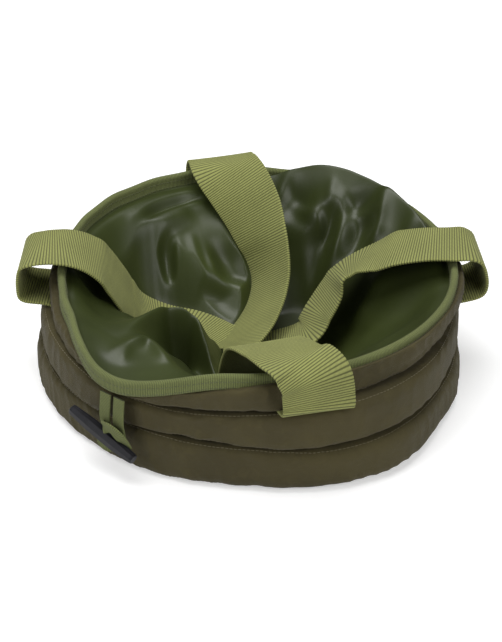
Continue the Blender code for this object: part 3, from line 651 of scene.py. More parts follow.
def tube(points, uv):
    """A grid that is round in its second way, with a fan of triangles round the middle of its
    first and of its last row."""
    columns = points.shape[1]
    j = np.arange(columns)
    fan = np.stack([j, (j + 1) % columns, np.full(columns, columns)], 1)
    ends = [(np.vstack([points[row], points[row].mean(0, keepdims=True)]), faces,
             np.zeros((columns, 3, 2))) for row, faces in ((0, fan[:, ::-1]), (-1, fan))]
    return [patch(points, uv, round_v=True)] + ends


def make_piece(name, parts, material, smooth=True):
    """One mesh object at the origin from patches, with its map in metres."""
    verts, loops, starts, uvs = [], [], [], []
    offset = total = 0
    for points, faces, uv in parts:
        verts.append(points)
        loops.append((faces + offset).ravel())
        starts.append(total + np.arange(len(faces)) * faces.shape[1])
        uvs.append(uv.reshape(-1, 2))
        offset += len(points)
        total += faces.size
    verts, loops = np.vstack(verts), np.concatenate(loops)
    starts, uvs = np.concatenate(starts), np.vstack(uvs)
    mesh = bpy.data.meshes.new(name)
    for items, field, values, kind in ((mesh.vertices, "co", verts, np.float32),
                                       (mesh.loops, "vertex_index", loops, np.int32),
                                       (mesh.polygons, "loop_start", starts, np.int32)):
        items.add(len(values))
        items.foreach_set(field, values.astype(kind).ravel())
    mesh.update(calc_edges=True)
    layer = mesh.uv_layers.new(name="UVMap")
    layer.data.foreach_set("uv", uvs.astype(np.float32).ravel())
    mesh.validate()
    mesh.polygons.foreach_set("use_smooth", np.full(len(mesh.polygons), smooth))
    mesh.materials.append(material)
    thing = bpy.data.objects.new(name, mesh)
    bpy.context.scene.collection.objects.link(thing)
    return thing


def stitches(places, ahead, up, sizes):
    """Small rounded stitches, one at each place: six-sided capsules of four rings."""
    rings = np.array([-1.0, -0.72, 0.72, 1.0])
    girth = np.array([0.25, 1.0, 1.0, 0.25])
    turn = np.arange(6) * np.pi / 3.0
    side = unit(np.cross(up, ahead))
    along = 0.5 * sizes.stitch_length * rings[:, None]
    half = 0.5 * sizes.thread * girth[:, None, None]
    shape = (along[..., None] * ahead[:, None, None, :]
             + half * np.cos(turn)[None, :, None] * side[:, None, None, :]
             + half * np.sin(turn)[None, :, None] * up[:, None, None, :])
    points = places[:, None, None, :] + shape
    a, b = np.meshgrid(np.arange(3), np.arange(6), indexing="ij")
    quads = np.stack([a * 6 + b, (a + 1) * 6 + b, (a + 1) * 6 + (b + 1) % 6,
                      a * 6 + (b + 1) % 6], -1).reshape(-1, 4)
    ends = np.array([[0, 1, 2, 3], [0, 3, 4, 5], [21, 20, 19, 18], [23, 22, 21, 18]])
    base = np.arange(len(places))[:, None, None] * 24
    faces = (np.concatenate([quads, ends])[None] + base).reshape(-1, 4)
    return (points.reshape(-1, 3), faces[:, ::-1], np.zeros((len(faces), 4, 2)))


def filled(stations):
    """Stations as rows; a place without a width direction keeps the one before."""
    rows = []
    for station in stations:
        rows.append((*station, *rows[-1][3:]) if len(station) == 3 else station)
    return np.array(rows, float)


def smooth_route(stations, step):
    """A Catmull-Rom curve through the stations, resampled at equal steps of its length. Each
    station is a place and a width direction."""
    stations = np.asarray(stations, float)
    count = len(stations)
    t = np.linspace(0.0, count - 1.0, 60 * count)
    i = np.minimum(t.astype(int), count - 2)
    f = (t - i)[:, None]
    near = [stations[np.clip(i + k, 0, count - 1)] for k in (-1, 0, 1, 2)]
    weights = (-0.5 * f + f * f - 0.5 * f ** 3, 1.0 - 2.5 * f * f + 1.5 * f ** 3,
               0.5 * f + 2.0 * f * f - 1.5 * f ** 3, -0.5 * f * f + 0.5 * f ** 3)
    dense = sum(w * n for w, n in zip(weights, near))
    run = run_along(dense[:, :3])
    even = np.linspace(0.0, run[-1], max(8, int(round(run[-1] / step)) + 1))
    return even, sample(even, run, dense)


def band_frame(route):
    """Places, width directions and upward normals along a band's route."""
    places = route[:, :3]
    ahead = unit(np.gradient(places, axis=0))
    across = route[:, 3:]
    across = unit(across - (across * ahead).sum(1, keepdims=True) * ahead)
    return places, across, unit(np.cross(ahead, across))


def flat_section(width, thickness):
    """A flat band's outline with half-round edges: its places across and its heights."""
    half, edge = 0.5 * width, 0.5 * thickness
    flats = 19
    top = np.linspace(-half + edge, half - edge, flats)
    turn = np.linspace(0.0, np.pi, 7)[1:-1]
    across = np.concatenate([top, half - edge + edge * np.sin(turn), top[::-1],
                             -half + edge - edge * np.sin(turn)])
    height = np.concatenate([np.full(flats, edge), edge * np.cos(turn), np.full(flats, -edge),
                             -edge * np.cos(turn)])
    return across, height


def ribbed_band(run, route, width, thickness, rib, relief):
    """A band along a route: a flat section carried along it, pushed out by ribs. The ribs' height
    is the relief times the absolute sine of half a turn per rib, to the power 0.7."""
    places, across, up = band_frame(route)
    y, z = flat_section(width, thickness)
    edge = np.clip((np.abs(y) - 0.5 * width + SELVEDGE) / SELVEDGE_EASE, 0.0, 1.0)
    bead = relief * (np.abs(np.sin(np.pi * run / rib)) ** 0.7)[:, None]
    height = z[None, :] + np.sign(z)[None, :] * bead * (1.0 + 0.35 * edge)[None, :]
    sideways = y[None, :] + np.sign(y)[None, :] * bead * 0.9 * (np.abs(z) < 0.4 * thickness)[None]
    points = (places[:, None, :] + across[:, None, :] * sideways[..., None]
              + up[:, None, :] * height[..., None])
    around = run_along(np.stack([y, z], 1))
    return points, map_grid(run, np.append(around, around[-1] + thickness))


# Pieces of the bucket

def roll_points(kind, angles, share, wrinkle):
    """One soft roll of the wall. Its line in the radius and height plane is a squared-off half
    ellipse, sin and cos of a half turn to a power below 1, from seam to seam; ripples, creases and
    puckers at the seams push it along its own normal."""
    seed, stand, waves, crease_below, crease_above = ROLLS[kind]
    start = end = seam_radius(angles)
    low, high = lower_seam(angles), upper_seam(angles)
    if kind == "lower":
        start = WALL_RADIUS - 0.003
        low, high = BASE_TOP, low
    elif kind == "upper":
        puff = tape_cover(angles)
        end = rim_radius(angles) - 0.002 + puff * PUFF_OUT
        low, high = high, rim_height(angles) - BINDING_DROP - 0.0005 + puff * PUFF_UP
    if kind != "lower":
        low = low + waved(CREASE, [(CREASE_ANGLE, crease_below, CREASE_HALF)], angles)
    if kind != "upper":
        high = high - waved(CREASE, [(CREASE_ANGLE, crease_above, CREASE_HALF)], angles)
    turn = np.pi * share
    sine = np.sin(turn) ** ROLL_POWER
    cosine = np.sign(np.cos(turn)) * np.abs(np.cos(turn)) ** ROLL_POWER
    middle = low + BELLY_SHARE * (high - low)
    edge = np.where(share < 0.5, start, end)
    bulge = np.maximum(waved(WALL_RADIUS + stand, waves, angles), edge + 0.002)
    radius = edge + (bulge - edge) * sine
    height = middle + np.where(cosine > 0.0, (low - middle) * cosine, (middle - high) * cosine)
    points = polar(angles, radius, height)
    window = np.sin(turn) ** 0.5
    slow, mid, crease, pucker = (ripple(angles, share, seed + k, *row)
                                 for k, row in enumerate(RIPPLES))
    sharp = 1.0 - np.sqrt(crease ** 2 + 0.03)
    near_seam = np.exp(-share / PUCKER_SHARE) + np.exp(-(1.0 - share) / PUCKER_SHARE)
    broad, narrow, folded = WRINKLE_SHARES
    push = wrinkle * window * (broad * slow + narrow * mid + folded * sharp) \
        + PUCKER * pucker * near_seam * window
    if kind == "upper":
        push = push - waved(0.0, PRESSED, angles) * window
    points = points + grid_normals(points) * push[..., None]
    if kind == "lower":
        points[..., 2] = np.maximum(points[..., 2], BASE_TOP)
    if kind == "upper":
        last = angles[:, -1:]
        tail = polar(last, rim_radius(last) + 0.0005, rim_height(last) - 0.006)
        points = np.concatenate([points, tail], 1)
    return points


def blend_up(thing):
    """Bakes the piece's placement into its mesh."""
    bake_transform(thing)


def topstitch(points, column, sizes):
    """Stitches along one line of a roll, laid on its surface."""
    line = np.hstack([points[:, column], grid_normals(points)[:, column]])
    line = np.vstack([line, line[:1]])
    run = run_along(line[:, :3])
    count = int(run[-1] / sizes.stitch_pitch)
    even = sample(np.arange(count) * run[-1] / count, run, line)
    places, up = even[:, :3], unit(even[:, 3:])
    ahead = unit(slope(places, 0, True))
    ahead = unit(ahead - (ahead * up).sum(1, keepdims=True) * up)
    return stitches(places, ahead, up, sizes)


class MESH_OT_bucket_wall(bpy.types.Operator):
    """Make the three soft nylon rolls of the wall and their topstitching"""
    bl_idname = "mesh.bucket_wall"
    bl_label = "Wall"

    def execute(self, context):
        sizes = context.scene.bucket_sizes
        colours = context.scene.bucket_colours
        nylon = nylon_finish(colours)
        thread = thread_finish("Wall thread", colours.thread)
        steps, columns = WALL_STEPS
        share = np.linspace(0.0, 1.0, columns)[None, :]
        angles = np.broadcast_to((np.arange(steps) * 360.0 / steps)[:, None], WALL_STEPS)
        for kind, nodes, rows in (
                ("lower", ("lower_roll_bottom", "lower_roll_top"), (8, 35)),
                ("middle", ("middle_roll_bottom", "middle_roll_top"), (8, 35)),
                ("upper", ("upper_roll_bottom", "upper_roll_top"), (8,))):
            points = roll_points(kind, angles, share, sizes.wrinkle)
            uv = map_grid(np.linspace(0.0, WALL_LENGTH, steps + 1), run_along(points[0]))
            roll = make_piece(kind + "_roll_cloth", [patch(points, uv, round_u=True)], nylon)
            blend_up(roll)
            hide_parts(*nodes)
            seam = make_piece(kind + "_roll_stitches",
                              [topstitch(points, row, sizes) for row in rows], thread)
            blend_up(seam)
        return {"FINISHED"}


def binding_section():
    """The rim's folded tape as places and outward directions in the radius and height plane: up
    the outer side, over the cord, down the inner side, and back inside the tape."""
    half = BINDING_HALF - TAPE_HALF
    down = np.linspace(BINDING_DROP - BINDING_HALF, 0.0, 8)[:-1]
    turn = np.linspace(0.0, np.pi, 9)
    ones, zeros = np.ones(7), np.zeros(7)
    line = np.stack([np.concatenate([half * ones, half * np.cos(turn), -half * ones]),
                     np.concatenate([-down, half * np.sin(turn), -down[::-1]])], 1)
    outward = np.stack([np.concatenate([ones, np.cos(turn), -ones]),
                        np.concatenate([zeros, np.sin(turn), zeros])], 1)
    back = [22, 19, 15, 13, 11, 9, 7, 3, 0]
    ring = np.concatenate([line + TAPE_HALF * outward, (line - TAPE_HALF * outward)[back]])
    return ring, np.concatenate([outward, np.zeros((len(back), 2))])


class MESH_OT_bucket_binding(bpy.types.Operator):
    """Make the ribbed tape round the rim and its stitching"""
    bl_idname = "mesh.bucket_binding"
    bl_label = "Rim Binding"

    def execute(self, context):
        sizes = context.scene.bucket_sizes
        tint = context.scene.bucket_colours.tape
        tape = webbing_finish("Green binding", sizes.binding_rib, tint)
        thread = thread_finish("Binding thread", shade(tint, 0.45))
        ribs = int(round(RIM_LENGTH / sizes.binding_rib))
        count = ribs * 4
        angles = np.arange(count) * 360.0 / count
        ring, push = binding_section()
        ring_r, ring_z = ring.T
        wobble = TAPE_WOBBLE * ripple(angles, 0.0, 5, 8, (7, 26), 0.0)
        lean = TAPE_LEAN * ripple(angles, 0.0, 6, 6, (5, 17), 0.0)
        wave = np.abs(np.sin(np.pi * ribs * angles / 360.0)) ** 0.7 * sizes.binding_relief
        depth = np.clip(-ring_z / 0.009, 0.0, 1.0)  # 0 over the cord, 1 at the tape's edges
        splay = TAPE_SPLAY * depth ** 2 * np.sign(ring_r)
        radius = (rim_radius(angles) + wobble)[:, None] + (ring_r + splay)[None, :] \
            + lean[:, None] * depth[None, :] + push[None, :, 0] * wave[:, None]
        height = (rim_height(angles) - BINDING_HALF + wobble)[:, None] + ring_z[None, :] \
            + push[None, :, 1] * wave[:, None]
        points = polar(angles[:, None], radius, height)
        around = run_along(ring)
        uv = map_grid(np.arange(count + 1) * sizes.binding_rib / 4.0,
                      np.append(around, around[-1] + 2.0 * TAPE_HALF))
        binding = make_piece("rim_tape", [patch(points, uv, round_u=True, round_v=True)], tape)
        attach(binding, "rim")
        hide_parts("rim_binding")
        step = int(round(sizes.stitch_pitch / sizes.binding_rib * 4))
        outward = polar(angles[::step], 1.0, 0.0)
        parts = []
        # Two rows of stitches on the outer side of the tape and two on the inner side
        for column in (1, 21, 5, 17):
            places = points[::step, column]
            up = outward * np.sign(ring_r[column])
            parts.append(stitches(places + up * 0.0001, unit(slope(places, 0, True)), up, sizes))
        seam = make_piece("rim_stitches", parts, thread)
        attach(seam, "rim")
        return {"FINISHED"}


def soft_maximum(a, b, width):
    """The larger of two heights, rounded where they are closer than the width."""
    near = np.maximum(width - np.abs(a - b), 0.0) / width
    return np.maximum(a, b) + near * near * width * 0.25


def drape_height(angles, radius):
    """Height of the hanging cloth in millimetres: level by the binding, then straight falls
    between its radius at each level of the drape, and flat on the floor."""
    shelf = rim_radius(angles) / MM - EDGE_INSET - 10.0
    edge = rim_height(angles) / MM - EDGE_DROP
    radii = [waved(base, waves, angles) for base, waves in DRAPE_RADII]
    top, middle, low = DRAPE_LEVELS
    height = np.full(np.shape(radius), low)
    for rise, inner, outer in ((middle - low, radii[2], radii[1]),
                               (top - middle, radii[1], radii[0]),
                               (edge - 3.0 - top, radii[0], shelf),
                               (3.0, shelf, shelf + 10.0)):
        height = height + rise * np.clip((radius - inner) / (outer - inner), 0, 1)
    return height


def plain_bowl(x, y):
    """The hanging cloth averaged over 12 mm along the radius, and the distance from its edge."""
    angles = np.degrees(np.arctan2(y, x))
    radius = np.hypot(x, y)
    inset = rim_radius(angles) / MM - EDGE_INSET - radius
    soft = sum(share * drape_height(angles, radius + step)
               for step, share in ((-6, 1 / 9), (-3, 2 / 9), (0, 3 / 9), (3, 2 / 9), (6, 1 / 9)))
    near = smooth_step(inset, 0.0, 8.0)
    return drape_height(angles, radius) * (1.0 - near) + soft * near


def nearest_place(x, y, line):
    """For each point, its squared distance from a line, the line's height at the nearest place,
    and the sine of its bearing from the line's way, above 0 on the left."""
    nearest = np.full(x.shape, 1e9)
    height, side = np.zeros(x.shape), np.zeros(x.shape)
    for a, b in zip(line[:-1], line[1:]):
        along = b[:2] - a[:2]
        length_squared = max(along @ along, 1e-9)
        t = np.clip(((x - a[0]) * along[0] + (y - a[1]) * along[1]) / length_squared, 0.0, 1.0)
        dx, dy = x - a[0] - t * along[0], y - a[1] - t * along[1]
        squared = dx * dx + dy * dy
        closer = squared < nearest
        nearest = np.where(closer, squared, nearest)
        height = np.where(closer, a[2] + t * (b[2] - a[2]), height)
        bearing = (along[0] * dy - along[1] * dx) / np.sqrt(length_squared
                                                            * np.maximum(squared, 1e-9))
        side = np.where(closer, bearing, side)
    return nearest, height, side


def crest_field(x, y, line, left, right, edge):
    """Height of one fold: its rise at the nearest place of its crest, times the exponential of
    minus the distance over the reach of the side that the point is on."""
    squared, rise, side = nearest_place(x, y, line)
    reach = right + (left - right) * (0.5 + 0.5 * np.clip(side * 1.5, -1.0, 1.0))
    return rise * np.exp(-(np.sqrt(squared + edge * edge) - edge) / reach)


def hollow_field(x, y, line, reach):
    """Depth of one pocket: its depth at the nearest place, times a bell of the distance."""
    squared, depth, _ = nearest_place(x, y, line)
    return depth * np.exp(-squared / reach ** 2)


def united(fields):
    """Fields joined softly: the logarithm of the sum of their exponentials."""
    total = sum(np.expm1(FOLD_MERGE * field) for field in fields)
    return np.log1p(total) / FOLD_MERGE


def crest_line(places):
    """A crest's places as a smooth line with a place about every 4 mm."""
    return smooth_route([(*place, 0, 0, 0) for place in places], 4.0)[1][:, :3]


def softened(field, rounds, columns):
    """A polar grid averaged with its neighbours, by weights 1, 2 and 1, so many times over."""
    for _ in range(rounds):
        field = 0.5 * field + 0.25 * (np.roll(field, 1, 0) + np.roll(field, -1, 0))
    for _ in range(columns):
        inner = 0.5 * field[:, 1:-1] + 0.25 * (field[:, 2:] + field[:, :-2])
        field = np.concatenate([field[:, :1], inner, field[:, -1:]], 1)
    return field


def lining_height(x, y, angles, inset):
    """Height of the lining and how far it stands over its bowl, in millimetres: the draped bowl
    and its swells, plus the united folds, minus the united pockets, plus slow ripples."""
    bowl = plain_bowl(x, y)
    swells = []
    for places, left, right, edge in SWELLS.values():
        line = crest_line(places)
        line[:, 2] = np.maximum(line[:, 2] - plain_bowl(line[:, 0], line[:, 1]), 0.0)
        swells.append(crest_field(x, y, line, left, right, edge))
    bowl = bowl + united(swells) * smooth_step(inset, 0.0, 6.0)
    folds = united([crest_field(x, y, crest_line(places), left, right, edge)
                    for places, left, right, edge in FOLDS.values()])
    pockets = united([hollow_field(x, y, crest_line(places), reach)
                      for places, reach in POCKETS.values()])
    calm = smooth_step(inset, 4.0, 26.0)
    ripples = 0.5 * calm * ripple(angles, np.hypot(x, y) * 0.04, 72, 7, (3, 13), 2.5)
    relief = softened((folds - pockets) * smooth_step(inset, 1.0, 9.0), *FOLD_ROUNDS)
    return softened(bowl, *BOWL_ROUNDS) + ripples, relief


def strap_envelope():
    """A square table of the height under the straps at each place, in millimetres, spread outward
    at STRAP_SLOPE and smoothed."""
    count = int(2 * TABLE_REACH / CELL) + 1
    table = np.full((count, count), 1e3)
    for stations in INNER_ROUTES.values():
        _, route = smooth_route(filled(stations), 1.0)
        places, across, _ = band_frame(route)
        spread = np.linspace(-25.5, 25.5, 52)[None, :, None]
        points = (places[:, None, :] + across[:, None, :] * spread).reshape(-1, 3)
        cells = np.clip(((points[:, :2] + TABLE_REACH) / CELL).round().astype(int), 0, count - 1)
        np.minimum.at(table, tuple(cells.T), points[:, 2])
    for _ in range(SPREAD_ROUNDS):
        for axis in (0, 1):
            for way in (-1, 1):
                table = np.minimum(table, np.roll(table, way, axis) + STRAP_SLOPE * CELL)
    for _ in range(AVERAGE_ROUNDS):
        for axis in (0, 1):
            table = 0.5 * table + 0.25 * (np.roll(table, 1, axis) + np.roll(table, -1, axis))
    return table


def look_up(table, x, y):
    """The square table's value at each place, linear between its cells."""
    u = np.clip((x + TABLE_REACH) / CELL, 0.0, table.shape[0] - 1.001)
    v = np.clip((y + TABLE_REACH) / CELL, 0.0, table.shape[1] - 1.001)
    i, j = u.astype(int), v.astype(int)
    f, g = u - i, v - j
    return (table[i, j] * (1 - f) * (1 - g) + table[i + 1, j] * f * (1 - g)
            + table[i, j + 1] * (1 - f) * g + table[i + 1, j + 1] * f * g)


def lining_points(rows, columns):
    """The lining as one polar grid from the binding to the middle of the floor."""
    angles = np.broadcast_to((np.arange(rows) * 360.0 / rows)[:, None], (rows, columns))
    share = np.linspace(0.0, 1.0, columns)[None, :]
    rim = rim_radius(angles) / MM - EDGE_INSET
    radius = rim * (1.0 - share ** 1.2)
    inset = rim - radius
    x, y = radius * np.cos(np.radians(angles)), radius * np.sin(np.radians(angles))
    bowl, relief = lining_height(x, y, angles, inset)
    edge = rim_height(angles) / MM - EDGE_DROP
    height = edge + (bowl + relief - edge) * smooth_step(inset, 0.0, 3.2)
    height = soft_maximum(height, np.full_like(height, 5.0), 3.0)
    shift = FOLD_LEAN * relief * smooth_step(inset, 4.0, 24.0)
    x, y = x + shift * FOLD_WAY[0], y + shift * FOLD_WAY[1]
    free = look_up(strap_envelope(), x, y) - STRAP_CLEARANCE
    height = -soft_maximum(-height, -free, 6.0)
    points = np.stack([x, y, np.maximum(height, 3.2)], -1) * MM
    points[:, -1] = points[:, -1].mean(0)
    top = points[:, :1].copy()
    top[..., 2] = rim_height(angles[:, :1]) - 0.0055
    outward = unit(top * (1.0, 1.0, 0.0))
    return np.concatenate([top + outward * 0.0016, points], 1)


class MESH_OT_bucket_lining(bpy.types.Operator):
    """Make the folded coated lining in three sections"""
    bl_idname = "mesh.bucket_lining"
    bl_label = "Lining"

    def execute(self, context):
        coated = lining_finish(context.scene.bucket_colours)
        rows, columns = LINING_STEPS
        points = lining_points(rows, columns)
        uv = map_grid(np.linspace(0.0, 0.9, rows + 1), np.linspace(0.0, 0.19, points.shape[1]))
        whole = make_piece("lining_whole", [patch(points[:, :-1], uv[:, :-1], round_u=True)],
                           coated)
        mesh = whole.data
        normals = np.zeros(len(mesh.vertices) * 3, np.float32)
        mesh.vertices.foreach_get("normal", normals)
        attribute = mesh.attributes.new("shape_normal", "FLOAT_VECTOR", "POINT")
        attribute.data.foreach_set("vector", normals)
        for kind, low, high in (("lower", None, LINING_CUTS[0]), ("middle", *LINING_CUTS),
                                ("upper", LINING_CUTS[1], None)):
            bm = bmesh.new()
            bm.from_mesh(mesh)
            if kind == "lower":
                # The grid's last row is left out, and one face closes the middle of the floor
                hole = [e for e in bm.edges if e.is_boundary
                        and max(v.co.xy.length for v in e.verts) < 0.02]
                bmesh.ops.holes_fill(bm, edges=hole, sides=0)
            for level, way in ((low, -1.0), (high, 1.0)):
                if level is not None:
                    bmesh.ops.bisect_plane(bm, geom=bm.verts[:] + bm.edges[:] + bm.faces[:],
                                           plane_co=(0, 0, level), plane_no=(0, 0, way),
                                           clear_outer=True)
            part_mesh = bpy.data.meshes.new("lining_" + kind + "_cloth")
            bm.to_mesh(part_mesh)
            bm.free()
            part_mesh.materials.append(coated)
            kept = np.zeros(len(part_mesh.vertices) * 3, np.float32)
            part_mesh.attributes["shape_normal"].data.foreach_get("vector", kept)
            part_mesh.normals_split_custom_set_from_vertices(unit(kept.reshape(-1, 3)).tolist())
            part_mesh.attributes.remove(part_mesh.attributes["shape_normal"])
            part = bpy.data.objects.new(part_mesh.name, part_mesh)
            context.scene.collection.objects.link(part)
            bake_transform(part)
            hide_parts("lining_" + kind)
        bpy.data.objects.remove(whole)
        return {"FINISHED"}


class MESH_OT_bucket_straps(bpy.types.Operator):
    """Make the crossed carry straps of ribbed webbing"""
    bl_idname = "mesh.bucket_straps"
    bl_label = "Carry Straps"

    def execute(self, context):
        sizes = context.scene.bucket_sizes
        webbing = webbing_finish("Green webbing", sizes.strap_rib,
                                 context.scene.bucket_colours.webbing)
        for name in OUTER_ROUTES:
            outer, inner = filled(OUTER_ROUTES[name]), filled(INNER_ROUTES[name])
            # Width directions of one length turn evenly from one station to the next
            outer[:, 3:] = unit(outer[:, 3:]) * 50.0
            inner[:, 3:] = unit(inner[:, 3:]) * 50.0
            whole = np.vstack([outer[:-1], inner])
            run, route = smooth_route(whole * MM, sizes.strap_rib / 6.0)
            band, band_uv = ribbed_band(run, route, sizes.strap_width, sizes.strap_thickness,
                                        sizes.strap_rib, sizes.strap_relief)
            start = inner[0, :3] * MM
            crest = np.linalg.norm(route[:, :3] - start, axis=1).argmin()
            for part, select in (("outer", slice(0, crest + 1)), ("span", slice(crest, None))):
                strap = make_piece("%s_strap_%s" % (name, part),
                                   tube(band[select], band_uv[select]), webbing)
                if part == "outer":
                    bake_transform(strap)
                    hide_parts(name + "_strap_end", name + "_strap_loop")
                else:
                    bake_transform(strap)
                    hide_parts("front_back_strap" if name in ("back", "front")
                                else "left_right_strap")
        return {"FINISHED"}


def leg_frame():
    """Middle of the toggle loop's top edge, and the outward and sideways directions there."""
    middle = np.array(CORNER)
    half = np.degrees(0.5 * LEGS_WIDTH / RIM_RADIUS)
    near, far = (polar(middle + k * half, rim_radius(middle + k * half), 0.0)
                 for k in (-1.0, 1.0))
    side = unit(far - near)
    level = min(float(rim_height(middle + k * half)) for k in (-1.0, 0.0, 1.0))
    top = polar(middle, rim_radius(middle) + TOP_OUT, level - BINDING_DROP - TOP_DROP)
    return top, np.cross(side, [0.0, 0.0, 1.0]), side


class MESH_OT_bucket_toggle(bpy.types.Operator):
    """Make the narrow loop and the faceted toggle that it holds"""
    bl_idname = "mesh.bucket_toggle"
    bl_label = "Toggle and Loop"

    def execute(self, context):
        sizes = context.scene.bucket_sizes
        colours = context.scene.bucket_colours
        tape = webbing_finish("Green loop tape", LOOP_RIB, colours.tape)
        top, out, side = leg_frame()
        slant = math.radians(TOGGLE_SLANT)
        up = np.array([0.0, 0.0, 1.0])
        along = side * math.cos(slant) - up * math.sin(slant)
        lift = np.cross(out, along)
        hitch = top + out * HITCH_OUT - up * HITCH_DROP
        parts = []
        for origin, axes, rows, width in (
                *((top, (side, out, up), leg, sizes.tape_width) for leg in LEGS),
                (hitch, (along, out, lift), HITCH_OVER, sizes.tape_width),
                (hitch, (along, out, lift), HITCH_UNDER, HITCH_UNDER_WIDTH)):
            rows = filled(rows)
            stations = np.hstack([origin + rows[:, :3] * MM @ axes, rows[:, 3:] @ axes])
            run, route = smooth_route(stations, LOOP_RIB / 4.0)
            parts += tube(*ribbed_band(run, route, width, sizes.tape_thickness, LOOP_RIB,
                                       LOOP_RELIEF))
        loop = make_piece("toggle_loop_tape", parts, tape)
        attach(loop, "toggle_loop")
        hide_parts("toggle_loop")
        bar = self.bar(sizes, hitch, along, out, lift, toggle_finish(colours))
        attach(bar, "toggle")
        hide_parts("toggle_bar")
        return {"FINISHED"}

    def bar(self, sizes, hitch, along, out, lift, plastic):
        """An eight-sided bar, its section scaled along its length, with bevelled edges."""
        arm = np.concatenate([0.5 * sizes.toggle_length - np.array(TOGGLE_BEVELS),
                              TOGGLE_FACETS])
        offsets = np.concatenate([-arm, [0.0], arm[::-1]])
        girths = TOGGLE_GIRTHS + TOGGLE_GIRTHS[-2::-1]
        thick = np.array(girths) / 96.0 * sizes.toggle_thickness
        turn = np.radians(45.0 * np.arange(8) + 22.5)
        radius = 0.5 * thick[:, None] / math.cos(math.pi / 8.0)
        points = (hitch + along * (offsets - TOGGLE_SHIFT)[:, None])[:, None, :] \
            + out * (radius * np.cos(turn))[..., None] + lift * (radius * np.sin(turn))[..., None]
        return make_piece("toggle_body", tube(points, map_grid(offsets, np.arange(9) * 0.004)),
                          plastic, smooth=False)


class OBJECT_OT_bucket_frame(bpy.types.Operator):
    """Give the carried-over parts of the frame their finishes"""
    bl_idname = "object.bucket_frame"
    bl_label = "Base, Hoops and Cord"

    def execute(self, context):
        colours = context.scene.bucket_colours
        wire = grained_finish("Spring wire", colours.wire, (0.0012, 3.0, 9.0), (0.8, 1.0),
                              (0.28, 0.16), (0.00004, 0.4), Metallic=1.0)
        cord = grained_finish("White cord", colours.cord, (0.0020, 2.0, 1.0), (0.88, 1.0),
                              (0.45, 0.12), (0.00005, 0.5))
        finishes = {"lower_hoop": wire, "upper_hoop": wire, "rim_cord": cord,
                    "base_panel": base_finish(colours),
                    "lining_floor": bpy.data.materials["Coated lining"]}
        for node, material in finishes.items():
            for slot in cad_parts[node].material_slots:
                slot.material = material
        return {"FINISHED"}


# Stage

FLOOR_ENDS = (-1.5, 1.5)
# Each lamp's name, place, width and power
LAMPS = (("soft_top", (-0.2, 0.1, 1.7), 1.5, 32.0), ("soft_front", (0.9, -1.4, 0.9), 1.0, 13.0),
         ("soft_left", (-1.5, -0.9, 0.9), 0.9, 11.0))
# The world's light on the object; the camera sees it white
WORLD_STRENGTH = 0.08
# Azimuth and elevation in degrees, and the rest of the camera
CAMERA_VIEW = (-10.0, 31.0)
CAMERA_AIM = (0.004, 0.0, 0.042)
CAMERA_DISTANCE = 1.7
CAMERA_LENS = 129.7


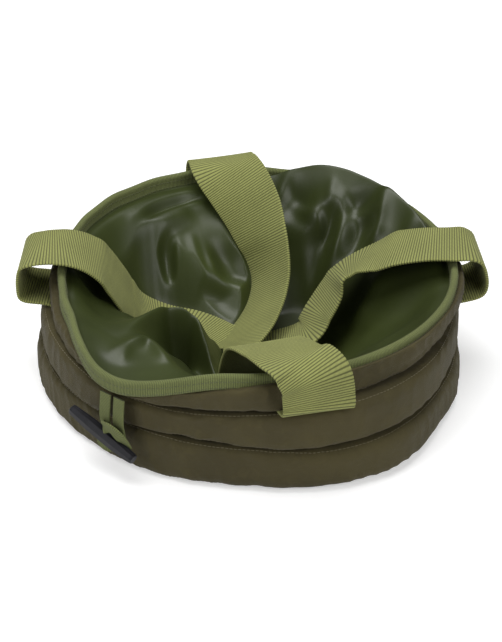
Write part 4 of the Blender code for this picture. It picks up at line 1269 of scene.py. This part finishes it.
class OBJECT_OT_bucket_stage(bpy.types.Operator):
    """Set the floor, the soft studio light and the camera"""
    bl_idname = "object.bucket_stage"
    bl_label = "Stage"

    def execute(self, context):
        scene = context.scene
        points = np.array([[(x, y, 0.0) for x in FLOOR_ENDS] for y in FLOOR_ENDS])
        floor = make_piece("floor", [patch(points, map_grid(FLOOR_ENDS, FLOOR_ENDS))],
                           floor_finish(scene.bucket_colours))
        for lamp in LAMPS:
            self.light(*lamp)
        scene.world = bpy.data.worlds.new("studio")
        world = Tree(scene.world)
        rays = world.node("LightPath", {}, {}, "Is Camera Ray")
        strength = world.node("Math", {"operation": "MAXIMUM"}, {0: rays, 1: WORLD_STRENGTH})
        white = world.node("Background", {}, {"Color": (1.0, 1.0, 1.0), "Strength": strength})
        world.node("OutputWorld", {}, {0: white})
        scene.view_settings.view_transform = "Standard"
        turn, rise = map(math.radians, CAMERA_VIEW)
        back = Vector((math.sin(turn) * math.cos(rise), -math.cos(turn) * math.cos(rise),
                       math.sin(rise)))
        camera = bpy.data.objects.new("camera", bpy.data.cameras.new("camera"))
        camera.data.sensor_fit = "VERTICAL"
        camera.data.sensor_height = 36.0
        camera.data.lens = CAMERA_LENS
        camera.location = Vector(CAMERA_AIM) + back * CAMERA_DISTANCE
        camera.rotation_euler = back.to_track_quat("Z", "Y").to_euler()
        scene.collection.objects.link(camera)
        scene.camera = camera
        return {"FINISHED"}

    def light(self, name, place, size, power):
        """A square soft light that faces the bucket."""
        lamp = bpy.data.objects.new(name, bpy.data.lights.new(name, "AREA"))
        lamp.data.size = size
        lamp.data.energy = power
        lamp.location = place
        aim = Vector((0.0, 0.0, 0.05)) - lamp.location
        lamp.rotation_euler = aim.to_track_quat("-Z", "Y").to_euler()
        bpy.context.scene.collection.objects.link(lamp)


class VIEW3D_PT_bucket(bpy.types.Panel):
    """The bucket's pieces, sizes and colours"""
    bl_label = "Collapsible Bucket"
    bl_idname = "VIEW3D_PT_bucket"
    bl_space_type = "VIEW_3D"
    bl_region_type = "UI"
    bl_category = "Bucket"

    def draw(self, context):
        layout = self.layout
        for operator in OPERATORS:
            layout.operator(operator.bl_idname)
        for settings in (context.scene.bucket_sizes, context.scene.bucket_colours):
            box = layout.box()
            for name in settings.__annotations__:
                box.prop(settings, name)


OPERATORS = (OBJECT_OT_bucket_stage, MESH_OT_bucket_wall, MESH_OT_bucket_binding,
             MESH_OT_bucket_lining, MESH_OT_bucket_straps, MESH_OT_bucket_toggle,
             OBJECT_OT_bucket_frame)
CLASSES = (BucketSizes, BucketColours, *OPERATORS, VIEW3D_PT_bucket)


def register():
    for cls in CLASSES:
        bpy.utils.register_class(cls)
    bpy.types.Scene.bucket_sizes = bpy.props.PointerProperty(type=BucketSizes)
    bpy.types.Scene.bucket_colours = bpy.props.PointerProperty(type=BucketColours)


def unregister():
    del bpy.types.Scene.bucket_colours
    del bpy.types.Scene.bucket_sizes
    for cls in reversed(CLASSES):
        bpy.utils.unregister_class(cls)


def main():
    register()
    bpy.ops.object.bucket_stage()
    bpy.ops.mesh.bucket_wall()
    bpy.ops.mesh.bucket_binding()
    bpy.ops.mesh.bucket_lining()
    bpy.ops.mesh.bucket_straps()
    bpy.ops.mesh.bucket_toggle()
    bpy.ops.object.bucket_frame()


if __name__ == "__main__":
    main()
